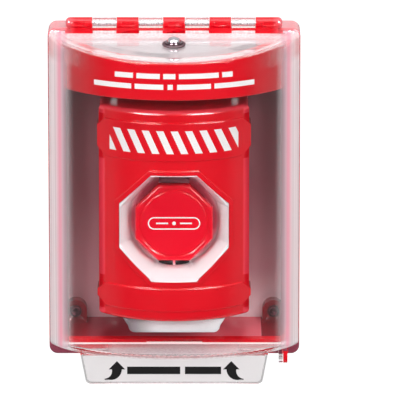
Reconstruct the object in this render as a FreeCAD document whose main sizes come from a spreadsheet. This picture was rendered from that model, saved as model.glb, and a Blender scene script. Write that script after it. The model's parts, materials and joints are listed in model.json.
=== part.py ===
import FreeCAD, Part
import math
import os

import Sketcher

# An emergency push-button station under a hinged clear cover with its own sounder.
# Millimetres and degrees. X runs to the right, -Y towards the person and +Z up. The origin is
# at the middle of the wall face. A depth is a distance in front of the wall, so y = -depth.

SIZES = {
    # Gasket, backing plate and mounting frame
    "frame_width": 149.0,
    "frame_height": 198.0,
    "frame_front": 24.0,
    "frame_corner": 5.0,
    "frame_skin": 2.6,
    "frame_edge": 1.2,
    "gasket_thick": 1.0,
    "gasket_inset": 1.0,
    "plate_thick": 2.4,
    "plate_border": 7.0,
    "rim_reach": 10.0,
    "rim_skin": 2.0,
    "rim_corner": 5.0,
    "rim_gap_sides": 8.0,
    "rim_gap_ends": 9.8,
    "well_taper_sides": 0.7,
    "well_taper_ends": 5.9,
    "finger_notch_width": 33.0,
    "finger_notch_depth": 0.8,
    "corner_boss_radius": 6.6,
    "corner_boss_front": 12.0,
    "corner_screw_inset": 15.5,
    "corner_screw_drop": 23.5,
    "corner_screw_radius": 1.75,
    "corner_head_radius": 3.4,
    "corner_head_height": 2.2,
    "driver_gap": 0.4,
    "wall_hole_radius": 2.25,
    "wall_hole_across": 72.0,
    "wall_hole_up": 140.0,
    "wall_hole_drop": 6.0,
    "cable_width": 32.0,
    "cable_height": 22.0,
    "cable_rise": 33.0,
    # Hinge
    "hinge_depth": 25.2,
    "hinge_rise": 3.3,
    "hinge_length": 127.5,
    "barrel_radius": 3.5,
    "pin_radius": 1.5,
    "pin_clearance": 0.05,
    "barrel_end": 2.6,
    "knuckle_pitch": 27.25,
    "cover_knuckle": 13.8,
    "knuckle_gap": 0.3,
    "lug_thick": 2.3,
    "lug_drop": 5.9,
    "lug_recess_length": 7.0,
    "lug_recess_radius": 1.1,
    "lug_recess_depth": 0.4,
    # Clear cover
    "cover_gap": 0.3,
    "cover_front": 78.5,
    "cover_wall": 2.8,
    "cover_edge": 3.6,
    "cover_lip_raise": 1.4,
    "cover_top_drop": 2.0,
    "cover_bottom_lift": 5.4,
    "top_slope": 7.2,
    "bottom_slope": 5.0,
    "tab_depth": 54.0,
    "tab_thick": 2.0,
    "tab_width": 111.5,
    "tab_narrowing": 7.5,
    "tab_bottom": 109.2,
    "tab_corner": 2.8,
    "label_thick": 0.2,
    "label_margin": 1.2,
    "seal_ear_thick": 2.5,
    "seal_ear_side": 62.1,
    "seal_ear_depth": 28.0,
    "seal_ear_radius": 3.4,
    "seal_ear_drop": 100.0,
    "seal_hole_radius": 1.2,
    # Sounder under the cover's top
    "horn_bottom": 66.0,
    "horn_rear": 35.5,
    "horn_side": 3.4,
    "horn_wall": 2.0,
    "horn_gap": 0.5,
    "lid_thick": 2.0,
    "lid_gap": 0.3,
    "lid_seat": 1.0,
    "horn_screw_depth": 49.0,
    "horn_screw_radius": 2.0,
    "horn_head_radius": 3.9,
    "horn_head_height": 2.6,
    "steel_washer_radius": 5.2,
    "steel_washer_thick": 0.8,
    "rubber_washer_radius": 6.8,
    "rubber_washer_thick": 1.2,
    "nut_across": 7.0,
    "nut_thick": 2.4,
    "lid_screw_across": 100.0,
    "lid_screw_depth": 44.0,
    "lid_screw_radius": 1.1,
    "lid_post_radius": 3.6,
    "lid_screw_sink": 0.5,
    "battery_length": 48.5,
    "battery_room": 2.4,
    "battery_height": 17.0,
    "battery_right": 18.0,
    "stud_radius": 2.9,
    "stud_length": 2.2,
    "stud_across": 12.7,
    "snap_thick": 3.2,
    "sounder_room": 3.4,
    "sounder_height": 11.0,
    "sounder_port": 1.5,
    "sounder_gap": 1.3,
    "sounder_share": 0.327,
    "slot_length": 14.0,
    "slot_width": 2.0,
    "slot_pitch": 4.0,
    "board_thick": 1.6,
    "board_width": 15.0,
    "board_height": 16.0,
    "board_left": 46.5,
    "reed_radius": 1.4,
    "reed_length": 14.0,
    "magnet_side": 43.0,
    "magnet_width": 8.0,
    "magnet_height": 2.2,
    "magnet_reach": 6.0,
    "magnet_gap": 1.8,
    # Station: base, shell, bezel
    "station_width": 88.0,
    "station_top": 57.0,
    "station_bottom": 70.0,
    "station_front": 62.0,
    "station_radius": 54.0,
    "station_wall": 2.2,
    "station_corner": 3.6,
    "station_corner_run": 3.7,
    "station_edge": 1.2,
    "shell_edge": 3.0,
    "base_thick": 2.5,
    "base_gap": 0.25,
    "belt_raise": 1.0,
    "upper_belt_top": 50.0,
    "upper_belt_bottom": 27.0,
    "lower_belt_top": 49.5,
    "lower_belt_bottom": 63.5,
    "belt_chamfer": 5.0,
    "belt_edge": 0.7,
    "chin_width": 60.0,
    "chin_narrowing": 6.0,
    "chin_bottom": 79.0,
    "chin_front": 52.0,
    "chin_corner": 4.0,
    "chin_wall": 2.2,
    "button_drop": 13.5,
    "bezel_across": 63.8,
    "bezel_gap": 0.2,
    "bezel_lip": 0.6,
    "bezel_proud": 0.5,
    "border_width": 2.7,
    "throat_rise": 6.0,
    "funnel_radius": 26.75,
    "mouth_rise": 6.5,
    "bezel_floor_depth": 35.5,
    "bezel_floor_thick": 2.0,
    "bezel_skin": 2.0,
    "guide_radius": 9.0,
    "guide_length": 6.0,
    "lens_width": 18.0,
    "lens_sink": 0.5,
    "lens_gap": 0.1,
    "lens_rib": 1.4,
    "lens_back": 1.5,
    # Button and what it works
    "button_across": 45.4,
    "button_rise": 5.8,
    "button_thick": 7.0,
    "button_skin": 2.0,
    "button_edge": 1.5,
    "face_ring_radius": 19.8,
    "face_ring_width": 1.0,
    "face_ring_depth": 0.6,
    "button_travel": 4.0,
    "stem_radius": 6.0,
    "stem_clearance": 0.08,
    "stem_tail": 2.2,
    "bar_half": 23.0,
    "bar_height": 8.0,
    "bar_thick": 2.5,
    "clip_radius": 8.2,
    "clip_thick": 1.0,
    "clip_gap": 0.3,
    "spring_radius": 9.6,
    "spring_wire": 0.5,
    "spring_turns": 3.5,
    "contact_side": 19.0,
    "contact_width": 13.0,
    "contact_height": 24.0,
    "contact_room": 0.5,
    "contact_floor": 1.0,
    "plunger_radius": 2.0,
    "plunger_clearance": 0.08,
    "terminal_radius": 1.6,
    "terminal_rise": 9.5,
    "station_screw_across": 60.0,
    "station_screw_rise": 48.0,
    "station_screw_low": 56.0,
    "small_screw_radius": 1.4,
    "small_head_radius": 2.6,
    "small_head_height": 1.6,
    "screw_clearance": 0.05,
    "lamp_board_radius": 25.0,
    "lamp_radius": 1.2,
    "lamp_ring": 25.0,
    "lamp_side": 5.0,
}

doc = FreeCAD.newDocument("push_button_station")
sheet = doc.addObject("Spreadsheet::Sheet", "dims")
for row, (alias, number) in enumerate(SIZES.items(), 1):
    sheet.set(f"A{row}", alias)
    sheet.set(f"B{row}", str(number))
    sheet.setAlias(f"B{row}", alias)
doc.recompute()


class Size:
    """A number, kept together with the sheet formula that gives it."""

    def __init__(self, value, text):
        self.value = value
        self.text = text

    def __add__(self, other):
        other = as_size(other)
        return Size(self.value + other.value, f"({self.text} + {other.text})")

    def __sub__(self, other):
        other = as_size(other)
        return Size(self.value - other.value, f"({self.text} - {other.text})")

    def __mul__(self, other):
        other = as_size(other)
        return Size(self.value * other.value, f"({self.text} * {other.text})")

    def __truediv__(self, other):
        other = as_size(other)
        return Size(self.value / other.value, f"({self.text} / {other.text})")

    def __neg__(self):
        return Size(-self.value, f"(0 - {self.text})")

    def __radd__(self, other):
        return as_size(other) + self

    def __rsub__(self, other):
        return as_size(other) - self

    def __rmul__(self, other):
        return as_size(other) * self


def as_size(number):
    if isinstance(number, Size):
        return number
    return Size(float(number), f"({float(number):.6f})")


def root(size):
    return Size(math.sqrt(size.value), f"sqrt({size.text})")


def tangent(angle):
    return Size(math.tan(math.radians(angle.value)), f"tan({angle.text})")


class Sheet:
    """Gives each size of the sheet by its own name."""

    def __getattr__(self, alias):
        return Size(float(SIZES[alias]), f"dims.{alias}")


d = Sheet()


# Features: each one is an object of the document, bound to the sheet.

def bind(feature, settings):
    for name, size in settings.items():
        feature.setExpression(name, as_size(size).text)


def place(feature, x, depth, z, rotation=None):
    if rotation is not None:
        feature.Placement = FreeCAD.Placement(FreeCAD.Vector(), rotation)
    bind(feature, {"Placement.Base.x": x, "Placement.Base.y": -as_size(depth), "Placement.Base.z": z})
    return feature


TOWARDS_FRONT = FreeCAD.Rotation(FreeCAD.Vector(1, 0, 0), 90)
TOWARDS_RIGHT = FreeCAD.Rotation(FreeCAD.Vector(0, 1, 0), 90)
UPWARDS = FreeCAD.Rotation()
# Sketch planes: (x, z) seen from the front, (x, depth) seen from above, (depth, z) from the side.
PLANES = {
    "front": TOWARDS_FRONT,
    "plan": FreeCAD.Rotation(FreeCAD.Vector(1, 0, 0), 180),
    "side": FreeCAD.Rotation(
        FreeCAD.Vector(0, -1, 0), FreeCAD.Vector(0, 0, 1), FreeCAD.Vector(-1, 0, 0), "XYZ"
    ),
}


def block(x_low, x_high, back, front, z_low, z_high):
    feature = doc.addObject("Part::Box", "Block")
    x_low, x_high, back, front = as_size(x_low), as_size(x_high), as_size(back), as_size(front)
    z_low, z_high = as_size(z_low), as_size(z_high)
    bind(feature, {"Length": x_high - x_low, "Width": front - back, "Height": z_high - z_low})
    return place(feature, x_low, front, z_low)


def rod(radius, length, x, depth, z, direction):
    feature = doc.addObject("Part::Cylinder", "Rod")
    bind(feature, {"Radius": radius, "Height": length})
    return place(feature, x, depth, z, direction)


def wedge(half_x_front, half_z_front, half_x_back, half_z_back, back, front):
    """A block whose sides taper from its front face to its back face."""
    feature = doc.addObject("Part::Wedge", "Wedge")
    bind(feature, {
        "Xmin": -half_x_front, "Xmax": half_x_front, "Zmin": -half_z_front, "Zmax": half_z_front,
        "X2min": -half_x_back, "X2max": half_x_back, "Z2min": -half_z_back, "Z2max": half_z_back,
        "Ymin": -as_size(front), "Ymax": -as_size(back),
    })
    return feature


def arc_shape(start, end, radius, side):
    """The arc from start to end that bulges to the left (side 1) or the right (side -1)."""
    chord = end.sub(start)
    half = chord.Length / 2
    across = FreeCAD.Vector(chord.y, -chord.x, 0).normalize() * side
    centre = (start + end) * 0.5 + across * math.sqrt(max(radius * radius - half * half, 0.0))
    first, last = (start, end) if side < 0 else (end, start)
    circle = Part.Circle(centre, FreeCAD.Vector(0, 0, 1), radius)
    return Part.ArcOfCircle(circle, circle.parameter(first), circle.parameter(last))


def outline(plane, points):
    """A closed sketch through points of (a, b), or (a, b, radius, side) to reach one by an arc."""
    sketch = doc.addObject("Sketcher::SketchObject", "Outline")
    sketch.Placement = FreeCAD.Placement(FreeCAD.Vector(), PLANES[plane])
    corners = [(as_size(point[0]), as_size(point[1])) for point in points]
    flat = [FreeCAD.Vector(a.value, b.value, 0) for a, b in corners]
    shapes, ends = [], []
    for index, point in enumerate(points):
        start, end = flat[index - 1], flat[index]
        if len(point) == 4:
            shapes.append(arc_shape(start, end, as_size(point[2]).value, point[3]))
            ends.append((1, 2) if point[3] < 0 else (2, 1))
        else:
            shapes.append(Part.LineSegment(start, end))
            ends.append((1, 2))
    sketch.addGeometry(shapes, False)
    constraints, formulas = [], []
    for index, point in enumerate(points):
        following = (index + 1) % len(points)
        constraints.append(Sketcher.Constraint(
            "Coincident", index, ends[index][1], following, ends[following][0]))
        for kind, size in (("DistanceX", corners[index][0]), ("DistanceY", corners[index][1])):
            formulas.append((len(constraints), size))
            constraints.append(Sketcher.Constraint(kind, -1, 1, index, ends[index][1], size.value))
        if len(point) == 4:
            radius = as_size(point[2])
            formulas.append((len(constraints), radius))
            constraints.append(Sketcher.Constraint("Radius", index, radius.value))
    sketch.addConstraint(constraints)
    for number, size in formulas:
        sketch.setExpression(f"Constraints[{number}]", size.text)
    return sketch


def prism(plane, low, high, points):
    """An outline pushed from low to high: depths for a front outline, z for a plan, x for a side."""
    sketch = outline(plane, points)
    low, high = as_size(low), as_size(high)
    if plane == "front":
        bind(sketch, {"Placement.Base.y": -low})
    elif plane == "plan":
        bind(sketch, {"Placement.Base.z": high})
    else:
        bind(sketch, {"Placement.Base.x": high})
    feature = doc.addObject("Part::Extrusion", "Prism")
    feature.Base = sketch
    feature.DirMode = "Normal"
    feature.Solid = True
    bind(feature, {"LengthFwd": high - low})
    return feature


def loft(*sketches):
    feature = doc.addObject("Part::Loft", "Loft")
    feature.Sections = list(sketches)
    feature.Solid = True
    feature.Ruled = True
    return feature


def join(*features):
    feature = doc.addObject("Part::MultiFuse", "Joined")
    feature.Shapes = list(features)
    feature.Refine = True
    return feature


def meet(*features):
    feature = doc.addObject("Part::MultiCommon", "Met")
    feature.Shapes = list(features)
    return feature


def cut(feature, *tools):
    result = doc.addObject("Part::Cut", "Cut")
    result.Base = feature
    result.Tool = join(*tools) if len(tools) > 1 else tools[0]
    return result


def group(*features):
    feature = doc.addObject("Part::Compound", "Group")
    feature.Links = list(features)
    return feature


def soften(feature, radius, chosen):
    """Rounds the edges of a feature that chosen says yes to."""
    doc.recompute()
    edges = [n for n, edge in enumerate(feature.Shape.Edges, 1) if chosen(edge)]
    rounded = doc.addObject("Part::Fillet", "Rounded")
    rounded.Base = feature
    rounded.Edges = [(n, radius.value, radius.value) for n in edges]
    return rounded


def along(edge, axis):
    """Whether a straight edge runs along X, Y or Z."""
    if not isinstance(edge.Curve, Part.Line):
        return False
    return abs(getattr(edge.Curve.Direction, axis)) > 0.999


nodes = {}


def piece(name, feature):
    feature.Label = name
    nodes[name] = feature
    return feature


def octagon(across):
    """Corners of an octagon of the given width across its flats, centred on the button."""
    half = across / 2
    side = half * tangent(as_size(22.5))
    z = -d.button_drop
    points = [
        (side, z - half), (half, z - side), (half, z + side), (side, z + half),
        (-side, z + half), (-half, z + side), (-half, z - side), (-side, z - half),
    ]
    return points


# Places that several pieces share, worked out from the sheet.

half_frame_x = d.frame_width / 2
half_frame_z = d.frame_height / 2
plate_front = d.gasket_thick + d.plate_thick
rim_front = d.frame_front + d.rim_reach
hinge_z = half_frame_z + d.hinge_rise
cover_rear = d.frame_front + d.cover_gap
cover_half = half_frame_x - d.cover_gap
cover_reach = d.cover_front - cover_rear
cover_radius = (cover_half * cover_half + cover_reach * cover_reach) / (2 * cover_reach)
cover_centre = d.cover_front - cover_radius
station_centre = d.station_front - d.station_radius
base_front = plate_front + d.base_thick
button_z = -d.button_drop
PAST = 2.0
CLOSE = 0.05
# A screw head's rounding, and the reach and half width of its cross, as shares of the head.
DOME = 0.55
CROSS_REACH = 0.55
CROSS_WIDTH = 0.14
# How deep a small thread sits, and its size against its head.
THREAD_SHARE = 0.6
HEAD_SHARE = 0.75


def cover_top(depth, below=0.0):
    """Height of the cover's sloping top at a depth, or of a layer below it."""
    return half_frame_z - d.cover_top_drop - (depth - cover_rear) * tangent(d.top_slope) - below


def cover_bottom(depth, above=0.0):
    rise = (depth - cover_rear) * tangent(d.bottom_slope)
    return d.cover_bottom_lift - half_frame_z + rise + above


def rounded_rectangle(half_a, half_b, radius):
    return [
        (half_a - radius, -half_b), (half_a, radius - half_b, radius, -1),
        (half_a, half_b - radius), (half_a - radius, half_b, radius, -1),
        (radius - half_a, half_b), (-half_a, half_b - radius, radius, -1),
        (-half_a, radius - half_b), (radius - half_a, -half_b, radius, -1),
    ]


def four(across, low, high):
    """The corners of a fastening pattern, as x and z."""
    return [(side * across / 2, z) for side in (-1, 1) for z in (low, high)]


def screw(x, z, seat, shank_end, shank_radius, head_radius, head_height):
    """A pan-head screw driven towards the wall, with a cross recess in its head."""
    shank = rod(shank_radius, seat - shank_end + head_height / 2, x, shank_end, z, TOWARDS_FRONT)
    head = rod(head_radius, head_height, x, seat, z, TOWARDS_FRONT)
    crown = soften(head, head_height * DOME, lambda edge: at_depth(edge, seat + head_height))
    arm = head_radius * CROSS_REACH
    slot = head_radius * CROSS_WIDTH
    top = seat + head_height
    cross = [
        block(x - arm, x + arm, top - head_height / 2, top + PAST, z - slot, z + slot),
        block(x - slot, x + slot, top - head_height / 2, top + PAST, z - arm, z + arm),
    ]
    return cut(join(shank, crown), *cross)


def at_depth(edge, depth):
    """Whether an edge lies wholly in the plane at a depth."""
    box = edge.BoundBox
    return abs(box.YMin + as_size(depth).value) < 0.01 and abs(box.YMax + as_size(depth).value) < 0.01


def at_height(edge, z):
    box = edge.BoundBox
    return abs(box.ZMin - as_size(z).value) < CLOSE and abs(box.ZMax - as_size(z).value) < CLOSE


wall_holes = four(
    d.wall_hole_across,
    -d.wall_hole_up / 2 - d.wall_hole_drop,
    d.wall_hole_up / 2 - d.wall_hole_drop,
)
corner_screws = four(
    d.frame_width - 2 * d.corner_screw_inset,
    d.corner_screw_drop - half_frame_z, half_frame_z - d.corner_screw_drop)
station_screws = four(d.station_screw_across, -d.station_screw_low, d.station_screw_rise)


def cable_hole(back, front):
    half = d.cable_width / 2
    low = d.cable_rise - d.cable_height / 2
    return block(-half, half, back, front, low, low + d.cable_height)


# Wall gasket: a thin foam sheet under the whole frame.

sheet_half_x = half_frame_x - d.gasket_inset
sheet_half_z = half_frame_z - d.gasket_inset
foam = prism(
    "front", 0, d.gasket_thick, rounded_rectangle(sheet_half_x, sheet_half_z, d.frame_corner)
)
piece("wall_gasket", cut(
    foam,
    cable_hole(-PAST, d.gasket_thick + PAST),
    *[rod(d.wall_hole_radius, d.gasket_thick + 2 * PAST, x, -PAST, z, TOWARDS_FRONT)
      for x, z in wall_holes],
))

# Backing plate: closes the frame behind the station, and is what the wall screws hold.

plate = prism("front", d.gasket_thick, plate_front, rounded_rectangle(
    half_frame_x - d.plate_border, half_frame_z - d.plate_border, d.frame_corner
))
piece("backing_plate", cut(
    plate,
    cable_hole(0, plate_front + PAST),
    *[rod(d.wall_hole_radius, plate_front + PAST, x, 0, z, TOWARDS_FRONT) for x, z in wall_holes],
    *[rod(d.corner_screw_radius + d.screw_clearance, plate_front + PAST, x, 0, z, TOWARDS_FRONT)
      for x, z in corner_screws],
    *[rod(d.small_screw_radius + d.screw_clearance, plate_front + PAST, x, 0, z, TOWARDS_FRONT)
      for x, z in station_screws],
))

# Mounting frame: one red moulding, hollow behind, whose inner wall slopes out to a raised rim.
# The hinge knuckles, the corner bosses and the red seal ear are part of it.

rim_half_x = half_frame_x - d.rim_gap_sides
rim_half_z = half_frame_z - d.rim_gap_ends
wall_run = rim_front - plate_front


def sloping_core(inset, back, front):
    """The solid inside the sloping wall, its sides moved in by inset, between two depths."""
    slope_x = d.well_taper_sides / wall_run
    slope_z = d.well_taper_ends / wall_run
    core = wedge(
        rim_half_x - inset - (rim_front - front) * slope_x,
        rim_half_z - inset - (rim_front - front) * slope_z,
        rim_half_x - inset - (rim_front - back) * slope_x,
        rim_half_z - inset - (rim_front - back) * slope_z,
        back, front,
    )
    span = as_size(front) - back
    return soften(
        core, d.rim_corner - inset,
        lambda edge: edge.BoundBox.YLength > span.value * 0.9,
    )


body = prism("front", d.gasket_thick, d.frame_front, rounded_rectangle(
    half_frame_x, half_frame_z, d.frame_corner
))
body = soften(body, d.frame_edge, lambda edge: at_depth(edge, d.frame_front))
hollow = prism("front", d.gasket_thick - PAST, d.frame_front - d.frame_skin, rounded_rectangle(
    half_frame_x - d.frame_skin, half_frame_z - d.frame_skin, d.frame_corner - d.frame_skin
))
hollow = cut(hollow, sloping_core(0.0, plate_front, rim_front))
under_wall = prism("front", d.gasket_thick - PAST, plate_front, rounded_rectangle(
    half_frame_x - d.frame_skin, half_frame_z - d.frame_skin, d.frame_corner - d.frame_skin
))
frame = cut(
    join(body, sloping_core(0.0, plate_front, rim_front)),
    hollow, under_wall,
    sloping_core(d.rim_skin, plate_front - PAST, rim_front + PAST),
)

bosses, boss_holes = [], []
for x, z in corner_screws:
    outward = 1 if z.value > 0 else -1
    foot = as_size(outward) * (rim_half_z - d.rim_skin - d.well_taper_ends / 2)
    low, high = (z, foot) if outward > 0 else (foot, z)
    bosses.append(rod(
        d.corner_boss_radius, d.corner_boss_front - plate_front, x, plate_front, z, TOWARDS_FRONT))
    bosses.append(block(
        x - d.corner_boss_radius, x + d.corner_boss_radius,
        plate_front, d.corner_boss_front, low, high))
    boss_holes.append(rod(
        d.corner_screw_radius + d.screw_clearance, d.corner_boss_front + PAST, x, 0, z,
        TOWARDS_FRONT))
    boss_holes.append(rod(
        d.corner_head_radius + d.driver_gap, rim_front, x, d.corner_boss_front, z, TOWARDS_FRONT))

# Hinge: red knuckles on the frame take turns with clear knuckles on the cover, on one steel pin.

cover_knuckle_middles = [d.knuckle_pitch * step for step in (-1.5, -0.5, 0.5, 1.5)]
red_half = (d.knuckle_pitch - d.cover_knuckle) / 2 - d.knuckle_gap
outer_start = d.knuckle_pitch * 1.5 + d.cover_knuckle / 2 + d.knuckle_gap
red_knuckles = [(d.knuckle_pitch * step - red_half, d.knuckle_pitch * step + red_half)
                for step in (-1, 0, 1)]
red_knuckles = [(-d.hinge_length / 2, -outer_start)] + red_knuckles
red_knuckles.append((outer_start, d.hinge_length / 2))
bore_half = d.hinge_length / 2 - d.barrel_end
lug_front = d.hinge_depth + d.lug_thick
lug_bottom = hinge_z - d.lug_drop


def barrel(x_low, x_high):
    return rod(d.barrel_radius, x_high - x_low, x_low, d.hinge_depth, hinge_z, TOWARDS_RIGHT)


def pin_bore():
    return rod(
        d.pin_radius + d.pin_clearance, 2 * bore_half, -bore_half, d.hinge_depth, hinge_z,
        TOWARDS_RIGHT)


hinge_solids, recesses = [], []
for x_low, x_high in red_knuckles:
    tube = barrel(x_low, x_high)
    ends = [x for x in (x_low, x_high) if abs(abs(x.value) - d.hinge_length.value / 2) < 0.01]
    if ends:
        tube = soften(tube, d.barrel_end, lambda edge: (
            isinstance(edge.Curve, Part.Circle) and abs(edge.CenterOfMass.x - ends[0].value) < 0.01))
    hinge_solids.append(tube)
    inset = d.barrel_end if ends else as_size(0.0)
    hinge_solids.append(block(
        x_low + (inset if x_low.value < 0 else 0), x_high - (inset if x_high.value > 0 else 0),
        d.frame_front - d.frame_skin, lug_front, lug_bottom, hinge_z))
    middle = (x_low + x_high) / 2
    recesses.append(block(
        middle - d.lug_recess_length / 2, middle + d.lug_recess_length / 2,
        d.hinge_depth + d.barrel_radius - d.lug_recess_depth, d.hinge_depth + d.barrel_radius + PAST,
        hinge_z - d.lug_recess_radius, hinge_z + d.lug_recess_radius))


def seal_ear(x_low, back, z_top):
    """A rounded ear with a hole for a wire seal, hanging below z_top."""
    x_high = x_low + d.seal_ear_thick
    low = -d.seal_ear_drop
    disc = rod(d.seal_ear_radius, d.seal_ear_thick, x_low, d.seal_ear_depth, low, TOWARDS_RIGHT)
    return [disc, block(x_low, x_high, back, d.seal_ear_depth + d.seal_ear_radius, low, z_top)]


seal_hole = rod(
    d.seal_hole_radius, 2 * d.seal_ear_thick + 4 * PAST, d.seal_ear_side - PAST, d.seal_ear_depth,
    -d.seal_ear_drop, TOWARDS_RIGHT)
red_ear = seal_ear(
    d.seal_ear_side + d.seal_ear_thick + d.cover_gap, d.frame_front - d.frame_skin,
    cover_bottom(cover_rear) - 2 * d.cover_gap)
finger_notch = block(
    -d.finger_notch_width / 2, d.finger_notch_width / 2,
    rim_front - d.finger_notch_depth, rim_front + PAST, -half_frame_z, PAST - rim_half_z + d.rim_skin)
piece("mounting_frame", cut(
    join(frame, *bosses, *hinge_solids, *red_ear),
    pin_bore(), seal_hole, finger_notch, *boss_holes, *recesses,
))

# Screws that hold the frame to its backing plate, through the corner bosses.

piece("frame_screws", group(*[
    screw(x, z, d.corner_boss_front, d.gasket_thick, d.corner_screw_radius,
          d.corner_head_radius, d.corner_head_height)
    for x, z in corner_screws
]))

piece("hinge_pin", rod(
    d.pin_radius, 2 * (bore_half - d.pin_clearance), d.pin_clearance - bore_half,
    d.hinge_depth, hinge_z, TOWARDS_RIGHT))

# Magnet on the frame's face, above the rim, that the cover's reed switch feels.

magnet_top = cover_top(cover_rear, d.cover_wall + d.magnet_gap)
piece("cover_magnet", block(
    -d.magnet_side - d.magnet_width / 2, d.magnet_width / 2 - d.magnet_side,
    d.frame_front, d.frame_front + d.magnet_reach, magnet_top - d.magnet_height, magnet_top))

# Clear cover: one moulding, a slice of a wide drum with a sloping top and bottom and an open
# back. Its knuckles, the lift tab and the clear seal ear are part of it.


def drum(inset, rear, top_layer, bottom_layer):
    """The cover's solid form, moved in by a wall, from rear forwards."""
    radius = cover_radius - inset
    reach = rear - cover_centre
    half = root(radius * radius - reach * reach)
    far = d.cover_front + PAST
    plan = prism("plan", -half_frame_z, half_frame_z, [(half, rear), (-half, rear, radius, -1)])
    side = prism("side", -half_frame_x, half_frame_x, [
        (rear, cover_bottom(rear, bottom_layer)), (far, cover_bottom(far, bottom_layer)),
        (far, cover_top(far, top_layer)), (rear, cover_top(rear, top_layer)),
    ])
    return meet(plan, side)


def curved(edge):
    return not isinstance(edge.Curve, Part.Line)


outside = soften(drum(0.0, cover_rear, 0.0, 0.0), d.cover_edge, curved)
inside = soften(
    drum(d.cover_wall, cover_rear - PAST, d.cover_wall, d.cover_wall),
    d.cover_edge - d.cover_wall, curved)

clear_solids = []
for middle in cover_knuckle_middles:
    x_low, x_high = middle - d.cover_knuckle / 2, middle + d.cover_knuckle / 2
    clear_solids.append(barrel(x_low, x_high))
    clear_solids.append(block(
        x_low, x_high, cover_rear, lug_front, cover_top(cover_rear) - d.cover_wall / 2, hinge_z))
lip_half = cover_half - d.cover_edge
clear_solids.append(block(
    -lip_half, lip_half, cover_rear, lug_front, cover_top(cover_rear) - d.cover_wall / 2,
    cover_top(cover_rear) + d.cover_lip_raise))

lug_pockets = [
    block(x_low - d.knuckle_gap, x_high + d.knuckle_gap, cover_rear - PAST,
          lug_front + d.cover_gap, lug_bottom - 3 * d.cover_gap, hinge_z - d.barrel_radius)
    for x_low, x_high in red_knuckles
]

tab_back = d.tab_depth - d.tab_thick / 2
tab_front = d.tab_depth + d.tab_thick / 2
tab_root = cover_bottom(d.tab_depth, d.cover_wall / 2)
tab_low = -d.tab_bottom


def tab_outline(margin, z_low, z_high):
    """The tab's tapering outline with rounded lower corners, moved in by a margin."""
    taper = d.tab_narrowing / 2 / (tab_root - tab_low)
    half_high = d.tab_width / 2 - margin - (tab_root - z_high) * taper
    half_low = d.tab_width / 2 - margin - (tab_root - z_low) * taper
    corner = d.tab_corner
    half_turn = half_low + corner * taper
    return [
        (half_low - corner, z_low), (half_turn, z_low + corner, corner * 1.03, -1),
        (half_high, z_high), (-half_high, z_high),
        (-half_turn, z_low + corner), (corner - half_low, z_low, corner * 1.03, -1),
    ]


clear_solids.append(prism("front", tab_back, tab_front, tab_outline(0, tab_low, tab_root)))
clear_solids += seal_ear(
    d.seal_ear_side, d.seal_ear_depth - d.seal_ear_radius,
    cover_bottom(cover_rear, d.cover_wall / 2))

slope_sine = Size(math.sin(math.radians(d.top_slope.value)), f"sin({d.top_slope.text})")
slope_cosine = Size(math.cos(math.radians(d.top_slope.value)), f"cos({d.top_slope.text})")
LEANING = FreeCAD.Rotation(FreeCAD.Vector(1, 0, 0), d.top_slope.value)


def leaning_rod(radius, start, length):
    """A rod square to the cover's top at the horn screw, from a height above that surface."""
    return rod(
        radius, length, 0, d.horn_screw_depth + start * slope_sine,
        cover_top(d.horn_screw_depth) + start * slope_cosine, LEANING)


through = d.cover_wall + d.lid_thick + d.lid_gap + PAST
horn_hole = leaning_rod(d.horn_screw_radius + d.knuckle_gap, -through, through + PAST)
piece("clear_cover", cut(
    join(cut(outside, inside), *clear_solids),
    pin_bore(), seal_hole, horn_hole, *lug_pockets,
))

# Printed label on the front of the lift tab.

label_high = cover_bottom(tab_front) - d.label_margin
piece("lift_label", prism(
    "front", tab_front, tab_front + d.label_thick,
    tab_outline(d.label_margin, tab_low + d.label_margin, label_high)))

# Sounder housing: a red tray under the cover's top, closed by a pale lid.

horn_radius = cover_radius - d.cover_wall - d.horn_gap
horn_side_reach = d.horn_rear + d.horn_side - cover_centre
horn_half = root(horn_radius * horn_radius - horn_side_reach * horn_side_reach)
lid_top_layer = d.cover_wall + d.lid_gap
lid_bottom_layer = lid_top_layer + d.lid_thick
horn_floor = d.horn_bottom + d.horn_wall
horn_room_rear = d.horn_rear + d.horn_wall
room_radius = horn_radius - d.horn_wall


def room_front(x):
    """How far in front of the wall the housing's room reaches at x."""
    return cover_centre + root(room_radius * room_radius - x * x)


sounder_left = d.battery_right + d.snap_thick + d.sounder_gap
sounder_radius = (room_front(sounder_left) - horn_room_rear) * d.sounder_share
sounder_side = sounder_left + sounder_radius
sounder_depth = horn_room_rear + d.sounder_room + sounder_radius


def half_moon(inset, low_profile):
    """The housing's plan moved in by inset, between the profile's heights."""
    half = horn_half - inset
    radius = horn_radius - inset
    rear = d.horn_rear + inset
    side = cover_centre + root(radius * radius - half * half)
    plan = prism("plan", d.horn_bottom - PAST, half_frame_z, [
        (half, rear), (half, side), (-half, side, radius, -1), (-half, rear)])
    return meet(plan, prism("side", -horn_half, horn_half, low_profile))


def layer_profile(low_rear, low_far, layer):
    rear, far = d.horn_rear - PAST, d.cover_front + PAST
    return [(rear, low_rear), (far, low_far), (far, cover_top(far, layer)),
            (rear, cover_top(rear, layer))]


def slab_profile(low_layer, high_layer):
    rear, far = d.horn_rear - PAST, d.cover_front + PAST
    return [(rear, cover_top(rear, low_layer)), (far, cover_top(far, low_layer)),
            (far, cover_top(far, high_layer)), (rear, cover_top(rear, high_layer))]


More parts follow.
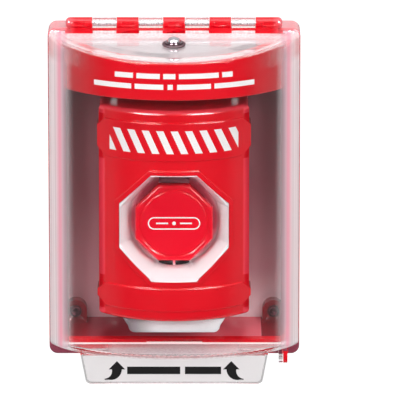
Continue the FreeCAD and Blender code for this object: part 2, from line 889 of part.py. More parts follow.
tray = half_moon(as_size(0), layer_profile(d.horn_bottom, d.horn_bottom, lid_top_layer))
tray = soften(tray, d.station_edge, lambda edge: curved(edge) and at_height(edge, d.horn_bottom))
room = half_moon(d.horn_wall, layer_profile(horn_floor, horn_floor, as_size(0)))
rebate = half_moon(d.lid_seat, slab_profile(lid_bottom_layer, as_size(0)))
lid_screw_places = [-d.lid_screw_across / 2, d.lid_screw_across / 2]
posts, post_holes = [], []
for x in lid_screw_places:
    post_top = cover_top(d.lid_screw_depth + d.lid_post_radius, lid_bottom_layer)
    posts.append(rod(
        d.lid_post_radius, post_top - d.horn_bottom, x, d.lid_screw_depth, d.horn_bottom, UPWARDS))
    post_holes.append(rod(
        2 * d.lid_screw_radius + d.lens_gap, PAST + d.lid_screw_sink + d.small_head_height, x,
        d.lid_screw_depth, d.horn_bottom - PAST, UPWARDS))
    post_holes.append(rod(
        d.lid_screw_radius + d.screw_clearance, half_frame_z - d.horn_bottom, x, d.lid_screw_depth,
        d.horn_bottom - PAST, UPWARDS))
sound_slots = []
for step in (-2, -1, 0, 1, 2):
    depth = sounder_depth + d.slot_pitch * step
    sound_slots.append(block(
        sounder_side - d.slot_length / 2, sounder_side + d.slot_length / 2,
        depth - d.slot_width / 2, depth + d.slot_width / 2, d.horn_bottom - PAST, horn_floor + PAST))
piece("horn_housing", cut(join(cut(tray, room, rebate), *posts), *post_holes, *sound_slots))

lid = half_moon(d.lid_seat + d.lid_gap, slab_profile(lid_bottom_layer, lid_top_layer))
lid_holes = [
    rod(d.lid_screw_radius + d.screw_clearance, half_frame_z - d.horn_bottom, x, d.lid_screw_depth,
        d.horn_bottom - PAST, UPWARDS) for x in lid_screw_places
]
lid_hole = leaning_rod(d.horn_screw_radius + d.screw_clearance, -through, through + PAST)
piece("horn_lid", cut(lid, lid_hole, *lid_holes))

lid_screw_list = []
for x in lid_screw_places:
    seat = d.horn_bottom + d.lid_screw_sink
    head = rod(
        2 * d.lid_screw_radius, d.small_head_height, x, d.lid_screw_depth, seat, UPWARDS)
    shank_top = cover_top(d.lid_screw_depth + d.lid_screw_radius, lid_top_layer)
    shank = rod(
        d.lid_screw_radius, shank_top - seat, x, d.lid_screw_depth, seat, UPWARDS)
    lid_screw_list.append(join(head, shank))
piece("lid_screws", group(*lid_screw_list))

# The dome-head screw through the cover's top, with a steel and a rubber washer and a nut.

rubber_top = d.rubber_washer_thick
steel_top = rubber_top + d.steel_washer_thick
hole_radius = d.horn_screw_radius + d.screw_clearance
piece("sealing_washer", cut(
    soften(leaning_rod(d.rubber_washer_radius, as_size(0), d.rubber_washer_thick),
           d.rubber_washer_thick * 0.4, curved),
    leaning_rod(hole_radius, as_size(-PAST), rubber_top + 2 * PAST)))
piece("steel_washer", cut(
    leaning_rod(d.steel_washer_radius, rubber_top, d.steel_washer_thick),
    leaning_rod(hole_radius, as_size(-PAST), steel_top + 2 * PAST)))
under_lid = -(lid_bottom_layer * slope_cosine)
head = soften(
    leaning_rod(d.horn_head_radius, steel_top, d.horn_head_height), d.horn_head_height * 0.9,
    lambda edge: curved(edge) and edge.CenterOfMass.z > (
        cover_top(d.horn_screw_depth) + steel_top + d.horn_head_height / 2).value)
shank = leaning_rod(
    d.horn_screw_radius, under_lid - d.nut_thick, d.nut_thick - under_lid + steel_top + d.horn_head_height / 2)
piece("horn_screw", join(head, shank))
nut = doc.addObject("Part::Prism", "Nut")
nut.Polygon = 6
bind(nut, {"Circumradius": d.nut_across / math.sqrt(3), "Height": d.nut_thick})
place(
    nut, 0, d.horn_screw_depth + (under_lid - d.nut_thick) * slope_sine,
    cover_top(d.horn_screw_depth) + (under_lid - d.nut_thick) * slope_cosine, LEANING)
piece("horn_nut", cut(nut, leaning_rod(hole_radius, under_lid - d.nut_thick - PAST, d.nut_thick + 2 * PAST)))

# What the sounder holds: battery and its snap lead, sounder disc, board and reed switch.

battery_left = d.battery_right - d.battery_length
battery_rear = horn_room_rear + d.lens_gap
battery_front = room_front(battery_left) - d.battery_room
battery_middle = (battery_rear + battery_front) / 2
stud_height = horn_floor + d.battery_height / 2
stud_depths = [battery_middle - d.stud_across / 2, battery_middle + d.stud_across / 2]
piece("battery", join(
    soften(
        block(battery_left, d.battery_right, battery_rear, battery_front,
              horn_floor, horn_floor + d.battery_height),
        d.horn_wall, lambda edge: along(edge, "x")),
    *[rod(d.stud_radius, d.stud_length + PAST, d.battery_right - PAST, depth, stud_height,
          TOWARDS_RIGHT) for depth in stud_depths]))
clip_inset = d.horn_wall
piece("battery_clip", cut(
    soften(
        block(d.battery_right, d.battery_right + d.snap_thick,
              battery_rear + clip_inset, battery_front - clip_inset,
              horn_floor + clip_inset, horn_floor + d.battery_height - clip_inset),
        d.snap_thick / 2, lambda edge: along(edge, "x")),
    *[rod(d.stud_radius + d.lens_gap, d.stud_length + d.lens_gap + PAST, d.battery_right - PAST,
          depth, stud_height, TOWARDS_RIGHT) for depth in stud_depths]))
piece("sounder", cut(
    soften(
        rod(sounder_radius, d.sounder_height, sounder_side, sounder_depth, horn_floor, UPWARDS),
        d.station_edge,
        lambda edge: curved(edge) and at_height(edge, horn_floor + d.sounder_height)),
    rod(d.sounder_port, d.horn_wall + PAST, sounder_side, sounder_depth, horn_floor - PAST,
        UPWARDS)))
board_front = horn_room_rear + d.board_thick
piece("horn_board", block(
    -d.board_left, d.board_width - d.board_left, horn_room_rear, board_front,
    horn_floor, horn_floor + d.board_height))
piece("reed_switch", rod(
    d.reed_radius, d.reed_length, (d.board_width - d.reed_length) / 2 - d.board_left,
    board_front + d.reed_radius, horn_floor + d.board_height - 2 * d.reed_radius, TOWARDS_RIGHT))

# Station base: the white plate behind the shell, with the chin that shows below it.

station_half = d.station_width / 2
base_half = station_half - d.station_wall - d.base_gap
base_low = d.station_wall + d.base_gap - d.station_bottom
base_high = d.station_top - d.station_wall - d.base_gap
chin_top = -d.station_bottom - d.base_gap
chin_low = -d.chin_bottom
chin_half_top = d.chin_width / 2
chin_half_low = chin_half_top - d.chin_narrowing / 2


def chin_outline(inset, z_low, z_high):
    corner = d.chin_corner
    half_low = chin_half_low - inset
    half_high = chin_half_top - inset
    return [
        (half_low - corner, z_low), (half_low, z_low + corner, corner, -1), (half_high, z_high),
        (-half_high, z_high), (-half_low, z_low + corner), (corner - half_low, z_low, corner, -1),
    ]


base_plate = block(-base_half, base_half, plate_front, base_front, base_low, base_high)
neck = block(-chin_half_top, chin_half_top, plate_front, base_front, chin_top, base_low + PAST)
chin = soften(
    prism("front", plate_front, d.chin_front, chin_outline(as_size(0), chin_low, chin_top)),
    d.chin_wall, lambda edge: at_depth(edge, d.chin_front) and not at_height(edge, chin_top))
chin_room = prism(
    "front", base_front, d.chin_front - d.chin_wall,
    chin_outline(d.chin_wall, chin_low + d.chin_wall, chin_top + PAST))
shell_screw_side = chin_half_top + 3 * d.small_head_radius
shell_screw_depth = base_front + 2 * d.small_head_radius
lugs = [
    block(x - d.small_head_radius, x + d.small_head_radius, plate_front,
          shell_screw_depth + d.small_head_radius, base_low, base_low + 2 * d.small_head_radius)
    for x in (-shell_screw_side, shell_screw_side)
]
piece("station_base", cut(
    join(base_plate, neck, cut(chin, chin_room), *lugs),
    cable_hole(0, base_front + PAST),
    *[rod(d.small_screw_radius + d.screw_clearance, base_front + PAST, x, 0, z, TOWARDS_FRONT)
      for x, z in station_screws],
    *[rod(d.small_screw_radius + d.screw_clearance, 4 * PAST + d.small_head_radius, x,
          shell_screw_depth, base_low - PAST, UPWARDS)
      for x in (-shell_screw_side, shell_screw_side)],
))
piece("station_screws", group(*[
    screw(x, z, base_front, d.gasket_thick, d.small_screw_radius, d.small_head_radius,
          d.small_head_height)
    for x, z in station_screws
]))

# Station shell: a red moulding with a bowed front, two raised belts and an octagonal window.


def bowed_plan(grow, back):
    """The shell's plan grown outwards, from a depth forwards."""
    radius = d.station_radius + grow
    half = station_half + grow
    flat = half - d.station_corner
    turn = station_centre + root(radius * radius - flat * flat)
    return [
        (half, back), (half, turn - d.station_corner_run), (flat, turn),
        (-flat, turn, radius, -1), (-half, turn - d.station_corner_run), (-half, back),
    ]


def octagon_prism(across, back, front):
    return prism("front", back, front, octagon(across))


shell_body = soften(
    prism("plan", -d.station_bottom, d.station_top, bowed_plan(as_size(0), plate_front)),
    d.shell_edge,
    lambda edge: (at_height(edge, d.station_top) or at_height(edge, -d.station_bottom))
    and edge.CenterOfMass.y < -2 * plate_front.value)
raised = prism("plan", -d.station_bottom, d.station_top, bowed_plan(d.belt_raise, d.frame_front))
shell_room = prism(
    "plan", d.station_wall - d.station_bottom, d.station_top - d.station_wall,
    bowed_plan(-d.station_wall, plate_front - PAST))


def belt(z_low, z_high):
    half = station_half + d.belt_raise
    bevel = d.belt_chamfer
    return prism("front", d.frame_front, d.station_front + PAST, [
        (half - bevel, z_low), (half, z_low + bevel), (half, z_high - bevel), (half - bevel, z_high),
        (bevel - half, z_high), (-half, z_high - bevel), (-half, z_low + bevel),
        (bevel - half, z_low),
    ])


window_across = d.bezel_across + 2 * d.bezel_gap
relief = meet(raised, join(
    belt(d.upper_belt_bottom, d.upper_belt_top),
    belt(-d.lower_belt_bottom, -d.lower_belt_top),
    octagon_prism(window_across + 2 * d.border_width, d.frame_front, d.station_front + PAST)))
raised_radius = d.station_radius + d.belt_raise
raised_flat = station_half + d.belt_raise - d.station_corner
raised_turn = (station_centre + root(raised_radius * raised_radius - raised_flat * raised_flat)
               - d.station_corner_run)
relief = soften(
    relief, d.belt_edge, lambda edge: edge.BoundBox.YMax < CLOSE - raised_turn.value)
neck_room = block(
    -chin_half_top - d.base_gap, chin_half_top + d.base_gap, plate_front - PAST,
    base_front + d.base_gap, chin_top - PAST, base_low + PAST)
piece("station_shell", cut(
    join(shell_body, relief), shell_room, neck_room,
    octagon_prism(window_across, plate_front, d.station_front + PAST),
    *[rod(d.small_screw_radius + d.screw_clearance, d.station_wall + 2 * PAST, x,
          shell_screw_depth, -d.station_bottom - PAST, UPWARDS)
      for x in (-shell_screw_side, shell_screw_side)],
))
shell_screw_list = []
for x in (-shell_screw_side, shell_screw_side):
    head = rod(
        d.small_head_radius, d.small_head_height, x, shell_screw_depth,
        -d.station_bottom - d.small_head_height, UPWARDS)
    shank = rod(
        d.small_screw_radius, base_low + 2 * d.small_head_radius + d.station_bottom, x,
        shell_screw_depth, -d.station_bottom, UPWARDS)
    shell_screw_list.append(join(head, shank))
piece("shell_screws", group(*shell_screw_list))

# Bezel: the white funnel in the octagonal window, with the guide for the button's stem.

throat_depth = d.bezel_floor_depth + d.throat_rise
mouth_depth = throat_depth + d.mouth_rise
funnel_half = d.bezel_across / 2 - d.bezel_lip
floor_back = d.bezel_floor_depth - d.bezel_floor_thick


def shell_front(x):
    """The depth of the shell's bowed front at x."""
    return station_centre + root(d.station_radius * d.station_radius - x * x)


def facet_slope(x):
    """How far a facet spreads for each unit of depth, to end at the lip where the shell is at x."""
    return (funnel_half - d.funnel_radius) / (shell_front(x) - throat_depth)


side_slope = facet_slope(funnel_half)
end_slope = facet_slope(as_size(0))
slant_slope = facet_slope(funnel_half / root(as_size(2)))


def funnel_sketch(depth):
    """The funnel's eight facets where a plane at this depth cuts them."""
    beyond = depth - throat_depth
    half_x = d.funnel_radius + beyond * side_slope
    half_z = d.funnel_radius + beyond * end_slope
    reach = (d.funnel_radius + beyond * slant_slope) * root(as_size(2))
    sketch = outline("front", [
        (x, z + button_z) for x, z in [
            (reach - half_z, -half_z), (half_x, half_x - reach), (half_x, reach - half_x),
            (reach - half_z, half_z), (half_z - reach, half_z), (-half_x, reach - half_x),
            (-half_x, half_x - reach), (half_z - reach, -half_z),
        ]
    ])
    bind(sketch, {"Placement.Base.y": -as_size(depth)})
    return sketch


def octagon_sketch(across, depth):
    sketch = outline("front", octagon(across))
    bind(sketch, {"Placement.Base.y": -as_size(depth)})
    return sketch


front_skin = prism(
    "plan", -d.station_bottom, d.station_top,
    bowed_plan(d.belt_raise + d.bezel_proud, floor_back))
collar = meet(
    octagon_prism(d.bezel_across, mouth_depth, d.station_front + PAST),
    front_skin)
cup = loft(
    octagon_sketch(d.bezel_across, mouth_depth),
    octagon_sketch(2 * (d.funnel_radius + d.bezel_skin), floor_back))
guide_back = floor_back - d.guide_length
guide = rod(d.guide_radius, d.guide_length, 0, guide_back, button_z, TOWARDS_FRONT)
funnel = loft(funnel_sketch(d.bezel_floor_depth), funnel_sketch(d.station_front + 2 * PAST))
throat = rod(
    d.funnel_radius, throat_depth - d.bezel_floor_depth, 0, d.bezel_floor_depth,
    button_z, TOWARDS_FRONT)
stem_hole = rod(
    d.stem_radius + d.stem_clearance, d.bezel_floor_depth + PAST - guide_back + PAST, 0,
    guide_back - PAST, button_z, TOWARDS_FRONT)
lamp_places = [
    (-d.lamp_side, button_z - d.lamp_ring), (d.lamp_side, button_z - d.lamp_ring),
    (as_size(0), button_z + d.lamp_ring),
]
lamp_holes = [
    rod(d.lamp_radius + d.lens_gap, d.bezel_floor_thick + 2 * PAST, x, floor_back - PAST, z,
        TOWARDS_FRONT) for x, z in lamp_places
]
lens_front = throat_depth - d.lens_sink
lens_edge = d.button_across / 2 + 2 * d.bezel_gap
rib = block(
    -d.lens_rib / 2, d.lens_rib / 2, d.bezel_floor_depth + d.lens_back + d.lens_gap, lens_front,
    button_z - d.funnel_radius - d.lens_gap, button_z - lens_edge)
piece("bezel", cut(
    join(cut(join(collar, cup, guide), funnel, throat), rib), stem_hole, *lamp_holes))


def lens(direction):
    """A dark window that fills the space between the button and the funnel's round throat."""
    near, far = button_z + direction * lens_edge, button_z + direction * (d.funnel_radius + PAST)
    low, high = (near, far) if direction > 0 else (far, near)
    round_edge = rod(
        d.funnel_radius - d.lens_gap, lens_front - d.bezel_floor_depth, 0,
        d.bezel_floor_depth, button_z, TOWARDS_FRONT)
    return meet(round_edge, block(
        -d.lens_width / 2, d.lens_width / 2, d.bezel_floor_depth, lens_front, low, high))


rib_slot = block(
    -d.lens_rib / 2 - d.lens_gap, d.lens_rib / 2 + d.lens_gap, d.bezel_floor_depth + d.lens_back,
    lens_front + PAST, button_z - 2 * d.funnel_radius, button_z)
piece("upper_lens", lens(1))
piece("lower_lens", cut(lens(-1), rib_slot))

# Lamps behind the windows, on a ring board under the funnel's floor.

piece("lamp_board", cut(
    rod(d.lamp_board_radius + d.lamp_radius, d.board_thick, 0, floor_back - d.board_thick, button_z,
        TOWARDS_FRONT),
    rod(d.guide_radius + d.bezel_gap, d.board_thick + 2 * PAST, 0,
        floor_back - d.board_thick - PAST, button_z, TOWARDS_FRONT)))
piece("indicator_lamps", group(*[
    rod(d.lamp_radius, d.bezel_floor_thick - d.lens_gap, x, floor_back, z, TOWARDS_FRONT)
    for x, z in lamp_places
]))

# Button: an octagonal cap on a guided stem, whose bar works the two contact blocks.

face_depth = throat_depth + d.button_rise
cap_back = face_depth - d.button_thick
cap_ceiling = face_depth - d.button_skin
cap = soften(
    octagon_prism(d.button_across, cap_back, face_depth), d.button_edge,
    lambda edge: at_depth(edge, face_depth))
cap_room = octagon_prism(d.button_across - 2 * d.button_skin, cap_back - PAST, cap_ceiling)
groove = cut(
    rod(d.face_ring_radius + d.face_ring_width / 2, PAST + d.face_ring_depth, 0,
        face_depth - d.face_ring_depth, button_z, TOWARDS_FRONT),
    rod(d.face_ring_radius - d.face_ring_width / 2, 3 * PAST, 0,
        face_depth - PAST, button_z, TOWARDS_FRONT))
piece("button_cap", cut(cap, cap_room, groove))

clip_front = guide_back - d.clip_gap
stem_back = clip_front - d.clip_thick - d.stem_tail
groove_radius = d.stem_radius - d.clip_thick
stem = rod(d.stem_radius, cap_ceiling - stem_back, 0, stem_back, button_z, TOWARDS_FRONT)
clip_groove = cut(
    rod(d.stem_radius + PAST, d.clip_thick, 0, clip_front - d.clip_thick, button_z, TOWARDS_FRONT),
    rod(groove_radius, d.clip_thick + 2 * PAST, 0, clip_front - d.clip_thick - PAST, button_z,
        TOWARDS_FRONT))
bar_back = stem_back - d.bar_thick
bar = block(
    -d.bar_half, d.bar_half, bar_back, stem_back, button_z - d.bar_height / 2,
    button_z + d.bar_height / 2)
piece("button_stem", join(cut(stem, clip_groove), bar))
piece("stem_clip", cut(
    rod(d.clip_radius, d.clip_thick, 0, clip_front - d.clip_thick, button_z, TOWARDS_FRONT),
    rod(groove_radius + d.screw_clearance, d.clip_thick + 2 * PAST, 0,
        clip_front - d.clip_thick - PAST, button_z, TOWARDS_FRONT),
    block(-groove_radius * HEAD_SHARE, groove_radius * HEAD_SHARE, clip_front - d.clip_thick - PAST,
          clip_front + PAST, button_z - 2 * d.clip_radius, button_z)))

# Return spring between the funnel's floor and the cap.

spring_start = d.bezel_floor_depth + d.spring_wire + d.screw_clearance
spring_length = cap_ceiling - d.spring_wire - d.screw_clearance - spring_start
helix = doc.addObject("Part::Helix", "Helix")
bind(helix, {
    "Radius": d.spring_radius, "Height": spring_length, "Pitch": spring_length / d.spring_turns,
})
place(helix, 0, spring_start, button_z, TOWARDS_FRONT)
wire = doc.addObject("Part::Circle", "Wire")
bind(wire, {"Radius": d.spring_wire})
place(wire, d.spring_radius, spring_start, button_z, UPWARDS)
spring = doc.addObject("Part::Sweep", "Spring")
spring.Sections = [wire]
spring.Spine = (helix, ["Edge1"])
spring.Solid = True
spring.Frenet = True
piece("return_spring", spring)

# Contact blocks each side of the stem, their plungers against the bar, and their terminals.

contact_front = bar_back - d.button_travel - d.contact_room
plunger_back = base_front + d.contact_floor + d.button_travel + d.contact_room
plungers, terminals = [], []
for name, side in (("contact_block_left", -1), ("contact_block_right", 1)):
    x = side * d.contact_side
    housing = block(
        x - d.contact_width / 2, x + d.contact_width / 2, base_front, contact_front,
        button_z - d.contact_height / 2, button_z + d.contact_height / 2)
    bore = rod(
        d.plunger_radius + d.plunger_clearance, contact_front - base_front, x,
        base_front + d.contact_floor, button_z, TOWARDS_FRONT)
    holes = []
    for z in (button_z - d.terminal_rise, button_z + d.terminal_rise):
        holes.append(rod(
            d.terminal_radius * THREAD_SHARE + d.screw_clearance, contact_front, x,
            contact_front - 3 * d.terminal_radius, z, TOWARDS_FRONT))
        terminals.append(screw(
            x, z, contact_front, contact_front - 3 * d.terminal_radius,
            d.terminal_radius * THREAD_SHARE, d.terminal_radius, d.terminal_radius * HEAD_SHARE))
    piece(name, cut(housing, bore, *holes))
    plungers.append(rod(
        d.plunger_radius, bar_back - plunger_back, x, plunger_back, button_z, TOWARDS_FRONT))
piece("contact_plungers", group(*plungers))
piece("terminal_screws", group(*terminals))

# Checks of the finished document, then one file for each piece.

doc.recompute()
for feature in doc.Objects:
    if "Invalid" in feature.State or "Error" in feature.State:
        raise RuntimeError(f"{feature.Name} ({feature.Label}) failed: {feature.State}")
for name, feature in nodes.items():
    if feature.Shape.isNull() or not feature.Shape.isValid():
        raise RuntimeError(f"{name} has no valid shape")

os.makedirs("parts", exist_ok=True)
for name, feature in nodes.items():
    feature.Shape.exportStep(f"parts/{name}.step")
    print(f"{name}: {len(feature.Shape.Solids)} solid, {feature.Shape.Volume / 1000:.2f} cm3")
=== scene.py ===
import json
import math

import bmesh
import bpy
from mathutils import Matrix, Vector

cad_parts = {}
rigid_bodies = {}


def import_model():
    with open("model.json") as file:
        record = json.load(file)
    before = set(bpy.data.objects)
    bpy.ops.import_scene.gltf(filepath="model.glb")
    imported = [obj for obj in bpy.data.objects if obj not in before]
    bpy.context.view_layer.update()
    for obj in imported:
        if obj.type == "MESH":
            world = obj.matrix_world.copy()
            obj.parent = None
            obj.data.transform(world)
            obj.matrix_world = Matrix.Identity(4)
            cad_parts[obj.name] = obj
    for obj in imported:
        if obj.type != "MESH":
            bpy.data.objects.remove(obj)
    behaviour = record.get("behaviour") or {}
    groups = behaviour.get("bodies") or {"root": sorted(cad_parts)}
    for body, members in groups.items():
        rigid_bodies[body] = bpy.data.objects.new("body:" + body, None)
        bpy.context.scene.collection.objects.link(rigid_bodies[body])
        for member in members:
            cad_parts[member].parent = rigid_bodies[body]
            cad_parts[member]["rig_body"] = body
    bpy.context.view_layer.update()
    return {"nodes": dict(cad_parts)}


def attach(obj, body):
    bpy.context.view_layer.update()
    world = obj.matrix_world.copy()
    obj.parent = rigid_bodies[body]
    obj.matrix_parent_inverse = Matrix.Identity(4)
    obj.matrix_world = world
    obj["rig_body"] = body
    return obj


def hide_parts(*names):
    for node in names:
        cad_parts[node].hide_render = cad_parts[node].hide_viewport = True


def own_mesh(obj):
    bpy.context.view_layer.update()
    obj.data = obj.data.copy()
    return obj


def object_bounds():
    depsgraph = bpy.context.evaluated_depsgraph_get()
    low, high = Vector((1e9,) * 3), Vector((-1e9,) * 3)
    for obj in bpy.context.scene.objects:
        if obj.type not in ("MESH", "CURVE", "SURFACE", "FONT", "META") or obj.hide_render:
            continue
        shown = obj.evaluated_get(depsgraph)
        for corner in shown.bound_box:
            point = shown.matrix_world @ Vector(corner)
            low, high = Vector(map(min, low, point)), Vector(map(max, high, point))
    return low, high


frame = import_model()

# Mounting frame
# The red box on the wall, one glossy injection moulding in impact-resistant plastic with a fine
# orange-peel skin. Its inside has painted shade, with a painted lighter pool towards the shelf's
# right and painted shadow on the bosses; its lower corners have painted shade and its top corners
# a painted pink highlight.


class Shader:
    """A socket of a node tree, so that sums and masks are written as expressions."""

    def __init__(self, tree, socket):
        self.tree = tree
        self.socket = socket

    def node(self, kind, settings=None, **values):
        """A node with its settings, then its sockets' values or links; i0 is socket number 0."""
        made = self.tree.nodes.new(kind)
        for name, value in (settings or {}).items():
            setattr(made, name, value)
        for name, value in values.items():
            key = int(name[1:]) if name[1:].isdigit() else name.replace("_", " ")
            if isinstance(value, Shader):
                self.tree.links.new(value.socket, made.inputs[key])
            else:
                made.inputs[key].default_value = value
        return made

    def result(self, kind, settings=None, output=0, **values):
        return Shader(self.tree, self.node(kind, settings, **values).outputs[output])

    def math(self, operation, other):
        return self.result("ShaderNodeMath", {"operation": operation}, i0=self, i1=other)

    def __add__(self, other):
        return self.math("ADD", other)

    def __sub__(self, other):
        return self.math("SUBTRACT", other)

    def __mul__(self, other):
        return self.math("MULTIPLY", other)

    def __gt__(self, other):
        return self.math("GREATER_THAN", other)

    def __lt__(self, other):
        return self.math("LESS_THAN", other)

    def __rsub__(self, other):
        return self.result("ShaderNodeMath", {"operation": "SUBTRACT"}, i0=other, i1=self)

    __radd__ = __add__
    __rmul__ = __mul__

    def either(self, other):
        """The higher of two masks."""
        return self.math("MAXIMUM", other)

    def size(self):
        return self.result("ShaderNodeMath", {"operation": "ABSOLUTE"}, i0=self)

    def root(self):
        return self.result("ShaderNodeMath", {"operation": "SQRT"}, i0=self)

    def ramp(self, low, high, to_low=0.0, to_high=1.0):
        """Goes smoothly from one value to another as this goes from low to high."""
        return self.result(
            "ShaderNodeMapRange", {"interpolation_type": "SMOOTHSTEP"},
            Value=self, i1=low, i2=high, i3=to_low, i4=to_high)

    def tint(self, low, high):
        """A colour between two colours, by this mask."""
        return self.result(
            "ShaderNodeMix", {"data_type": "RGBA"}, output=2, i0=self, i6=low, i7=high)

    def noise(self, scale, detail):
        """A cloudy pattern from 0 to 1 at this place."""
        return self.result("ShaderNodeTexNoise", Vector=self, Scale=scale, Detail=detail)

    def split(self):
        """The x, y and z of this place."""
        parts = self.node("ShaderNodeSeparateXYZ", Vector=self)
        return [Shader(self.tree, parts.outputs[name]) for name in ("X", "Y", "Z")]

    def rays(self, *kinds):
        """One mask for each kind of ray, which is one where the ray is of that kind."""
        light = self.node("ShaderNodeLightPath")
        return [Shader(self.tree, light.outputs["Is " + kind + " Ray"]) for kind in kinds]


def linear(red, green, blue):
    """A colour given as the eye reads it, 0 to 255, as Blender keeps it."""
    parts = []
    for part in (red, green, blue):
        part = part / 255
        parts.append(part / 12.92 if part < 0.04045 else ((part + 0.055) / 1.055) ** 2.4)
    return (*parts, 1.0)


def material(name, **sockets):
    """A Principled material; returns it, its shader node and its Object coordinates."""
    made = bpy.data.materials.new(name)
    made.use_nodes = True
    shader = made.node_tree.nodes["Principled BSDF"]
    for socket, value in sockets.items():
        shader.inputs[socket.replace("_", " ")].default_value = value
    coordinates = made.node_tree.nodes.new("ShaderNodeTexCoord")
    place = Shader(made.node_tree, coordinates.outputs["Object"])
    return made, shader, place


def connect(shader, **links):
    """Links values to the sockets of a shader node, each by the socket's name."""
    for socket, value in links.items():
        value.tree.links.new(value.socket, shader.inputs[socket.replace("_", " ")])


EDGE_RADIUS = 0.0005
SKIN_STRENGTH = 0.25
GLOSS_SPREAD = 12


def moulded_skin(shader, place, grain, height, rough_low, rough_high):
    """Fine unevenness of a moulded surface: a small bump and a changing gloss."""
    edge = place.result("ShaderNodeBevel", {"samples": 4}, Radius=EDGE_RADIUS)
    bump = place.result(
        "ShaderNodeBump", Height=place.noise(grain, 3.0), Strength=SKIN_STRENGTH,
        Distance=height, Normal=edge)
    rough = place.result(
        "ShaderNodeMapRange", Value=place.noise(grain / GLOSS_SPREAD, 2.0), i1=0.3, i2=0.7,
        i3=rough_low, i4=rough_high)
    connect(shader, Normal=bump, Roughness=rough)


FACET_GAP = 2e-6
FACET_EDGE = 1e-6
SHARP_ANGLE = math.radians(24.0)


def dress(node, made):
    """A copy of a frame piece with its facets merged and its curved faces shaded smooth."""
    source = frame["nodes"][node]
    mesh = bpy.data.meshes.new(node + "_finish")
    merged = bmesh.new()
    merged.from_mesh(source.data)
    bmesh.ops.remove_doubles(merged, verts=merged.verts, dist=FACET_GAP)
    bmesh.ops.dissolve_degenerate(merged, edges=merged.edges, dist=FACET_EDGE)
    merged.to_mesh(mesh)
    merged.free()
    mesh.shade_smooth()
    mesh.set_sharp_from_angle(angle=SHARP_ANGLE)
    mesh.materials.clear()
    mesh.materials.append(made)
    piece = bpy.data.objects.new(node + "_finish", mesh)
    bpy.context.scene.collection.objects.link(piece)
    weighted = piece.modifiers.new("weighted", "WEIGHTED_NORMAL")
    weighted.keep_sharp = True
    weighted.weight = 100
    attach(piece, source["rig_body"])
    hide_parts(node)
    return piece


RED = linear(229, 6, 30)
DEEP_RED = linear(221, 4, 26)
# Painted shade and light: the well, shelf and bosses inside, the lower corners and top corners.
WELL_SHADE_RED = linear(140, 24, 42)
SHELF_LIGHT_RED = linear(240, 108, 124)
BOSS_SHADOW_RED = linear(140, 8, 30)
FOOT_SHADE_RED = linear(136, 62, 80)
CREST_HIGHLIGHT_RED = linear(250, 136, 146)
WELL_HALF = (0.0668, 0.0875)
WELL_FRONT = 0.0342
SHELF_TOP = -0.0800
SHELF_FRONT = 0.0300
SHELF_SPAN = (-0.055, 0.020)
BOSS_SIDE = 0.0515
FOOT_FALL = (-0.0935, -0.0860, 1.0, 0.0)
FOOT_LOW = -0.0991
FOOT_SPAN = (0.050, 0.062)
LUG_TOP = -0.0955
LUG_SIDE = 0.0660
LUG_HALF = 0.0018
CREST_SPAN = (0.0570, 0.0660)
CREST_RISE = (0.0880, 0.0960)
CREST_SHARE = 0.75
RED_MOTTLE = (9.0, 2.0)
RED_GRAIN = 900.0
RED_PEEL = 0.0002

red_plastic, red_shader, red_place = material(
    "red_plastic", Base_Color=RED, Specular_IOR_Level=0.5)
red_x, red_y, red_z = red_place.split()
red_depth = red_y * -1.0
# Painted shade in the well, a painted lighter pool to the shelf's right, painted shadow on bosses.
well = (red_x.size() < WELL_HALF[0]) * (red_z.size() < WELL_HALF[1]) * (red_depth < WELL_FRONT)
well = well * (1.0 - (red_z < SHELF_TOP) * (red_depth > SHELF_FRONT))
shelf = red_x.ramp(*SHELF_SPAN).tint(WELL_SHADE_RED, SHELF_LIGHT_RED)
inner = (red_x.size() > BOSS_SIDE).tint(shelf, BOSS_SHADOW_RED)
# Painted shade on the lower corners, leaving out the seal's lug.
foot = red_z.ramp(*FOOT_FALL) * (red_z > FOOT_LOW) * red_x.size().ramp(*FOOT_SPAN)
foot = foot * (1.0 - (red_z < LUG_TOP) * ((red_x - LUG_SIDE).size() < LUG_HALF))
# Painted pink highlight on the top corners.
crest_highlight = red_x.size().ramp(*CREST_SPAN) * red_z.ramp(*CREST_RISE) * CREST_SHARE
skin = crest_highlight.tint(red_place.noise(*RED_MOTTLE).tint(DEEP_RED, RED), CREST_HIGHLIGHT_RED)
connect(red_shader, Base_Color=well.tint(foot.tint(skin, FOOT_SHADE_RED), inner))
moulded_skin(red_shader, red_place, RED_GRAIN, RED_PEEL, 0.16, 0.24)
dress("mounting_frame", red_plastic)

# Station shell and sounder housing
# Two more red mouldings with white print: the shell is screwed over the base, and the housing
# hangs in the cover from one dome screw. The shell's rounded corners and its sloping top have
# painted light on them, and the housing's band has painted shade towards its ends.

PRINT_WHITE = linear(246, 244, 245)
# Painted light on the shell's corners and top, painted shade at the ends of the sounder's band.
CORNER_LIGHT_RED = linear(246, 58, 76)
CROWN_LIGHT_RED = linear(240, 74, 90)
BAND_END_SHADE_RED = linear(192, 4, 22)
CORNER_SPAN = (0.0400, 0.0412)
CORNER_END = 0.0438
CROWN_RISE = (0.0545, 0.0562)
BAND_SPAN = (0.030, 0.062)
UPPER_BELT_Z = 0.0385
UPPER_BELT_HALF = 0.0135
LOWER_BELT_Z = -0.0555
LOWER_BELT_HALF = 0.0100
STRIPES_HALF = (0.0375, 0.0068)
STRIPE_PITCH = 0.0084
STRIPE_LEAN = 0.45
DASH_HEIGHT = 0.0030
UPPER_DASHES_Z = 0.0805
LOWER_DASHES_Z = 0.0742
UPPER_DASHES = [
    (-0.034, -0.0235), (-0.0215, -0.008), (-0.006, 0.001), (0.003, 0.026), (0.028, 0.034)]
LOWER_DASHES = [
    (-0.046, -0.0245), (-0.0225, -0.006), (-0.0035, -0.0005), (0.002, 0.0215), (0.0235, 0.0465)]


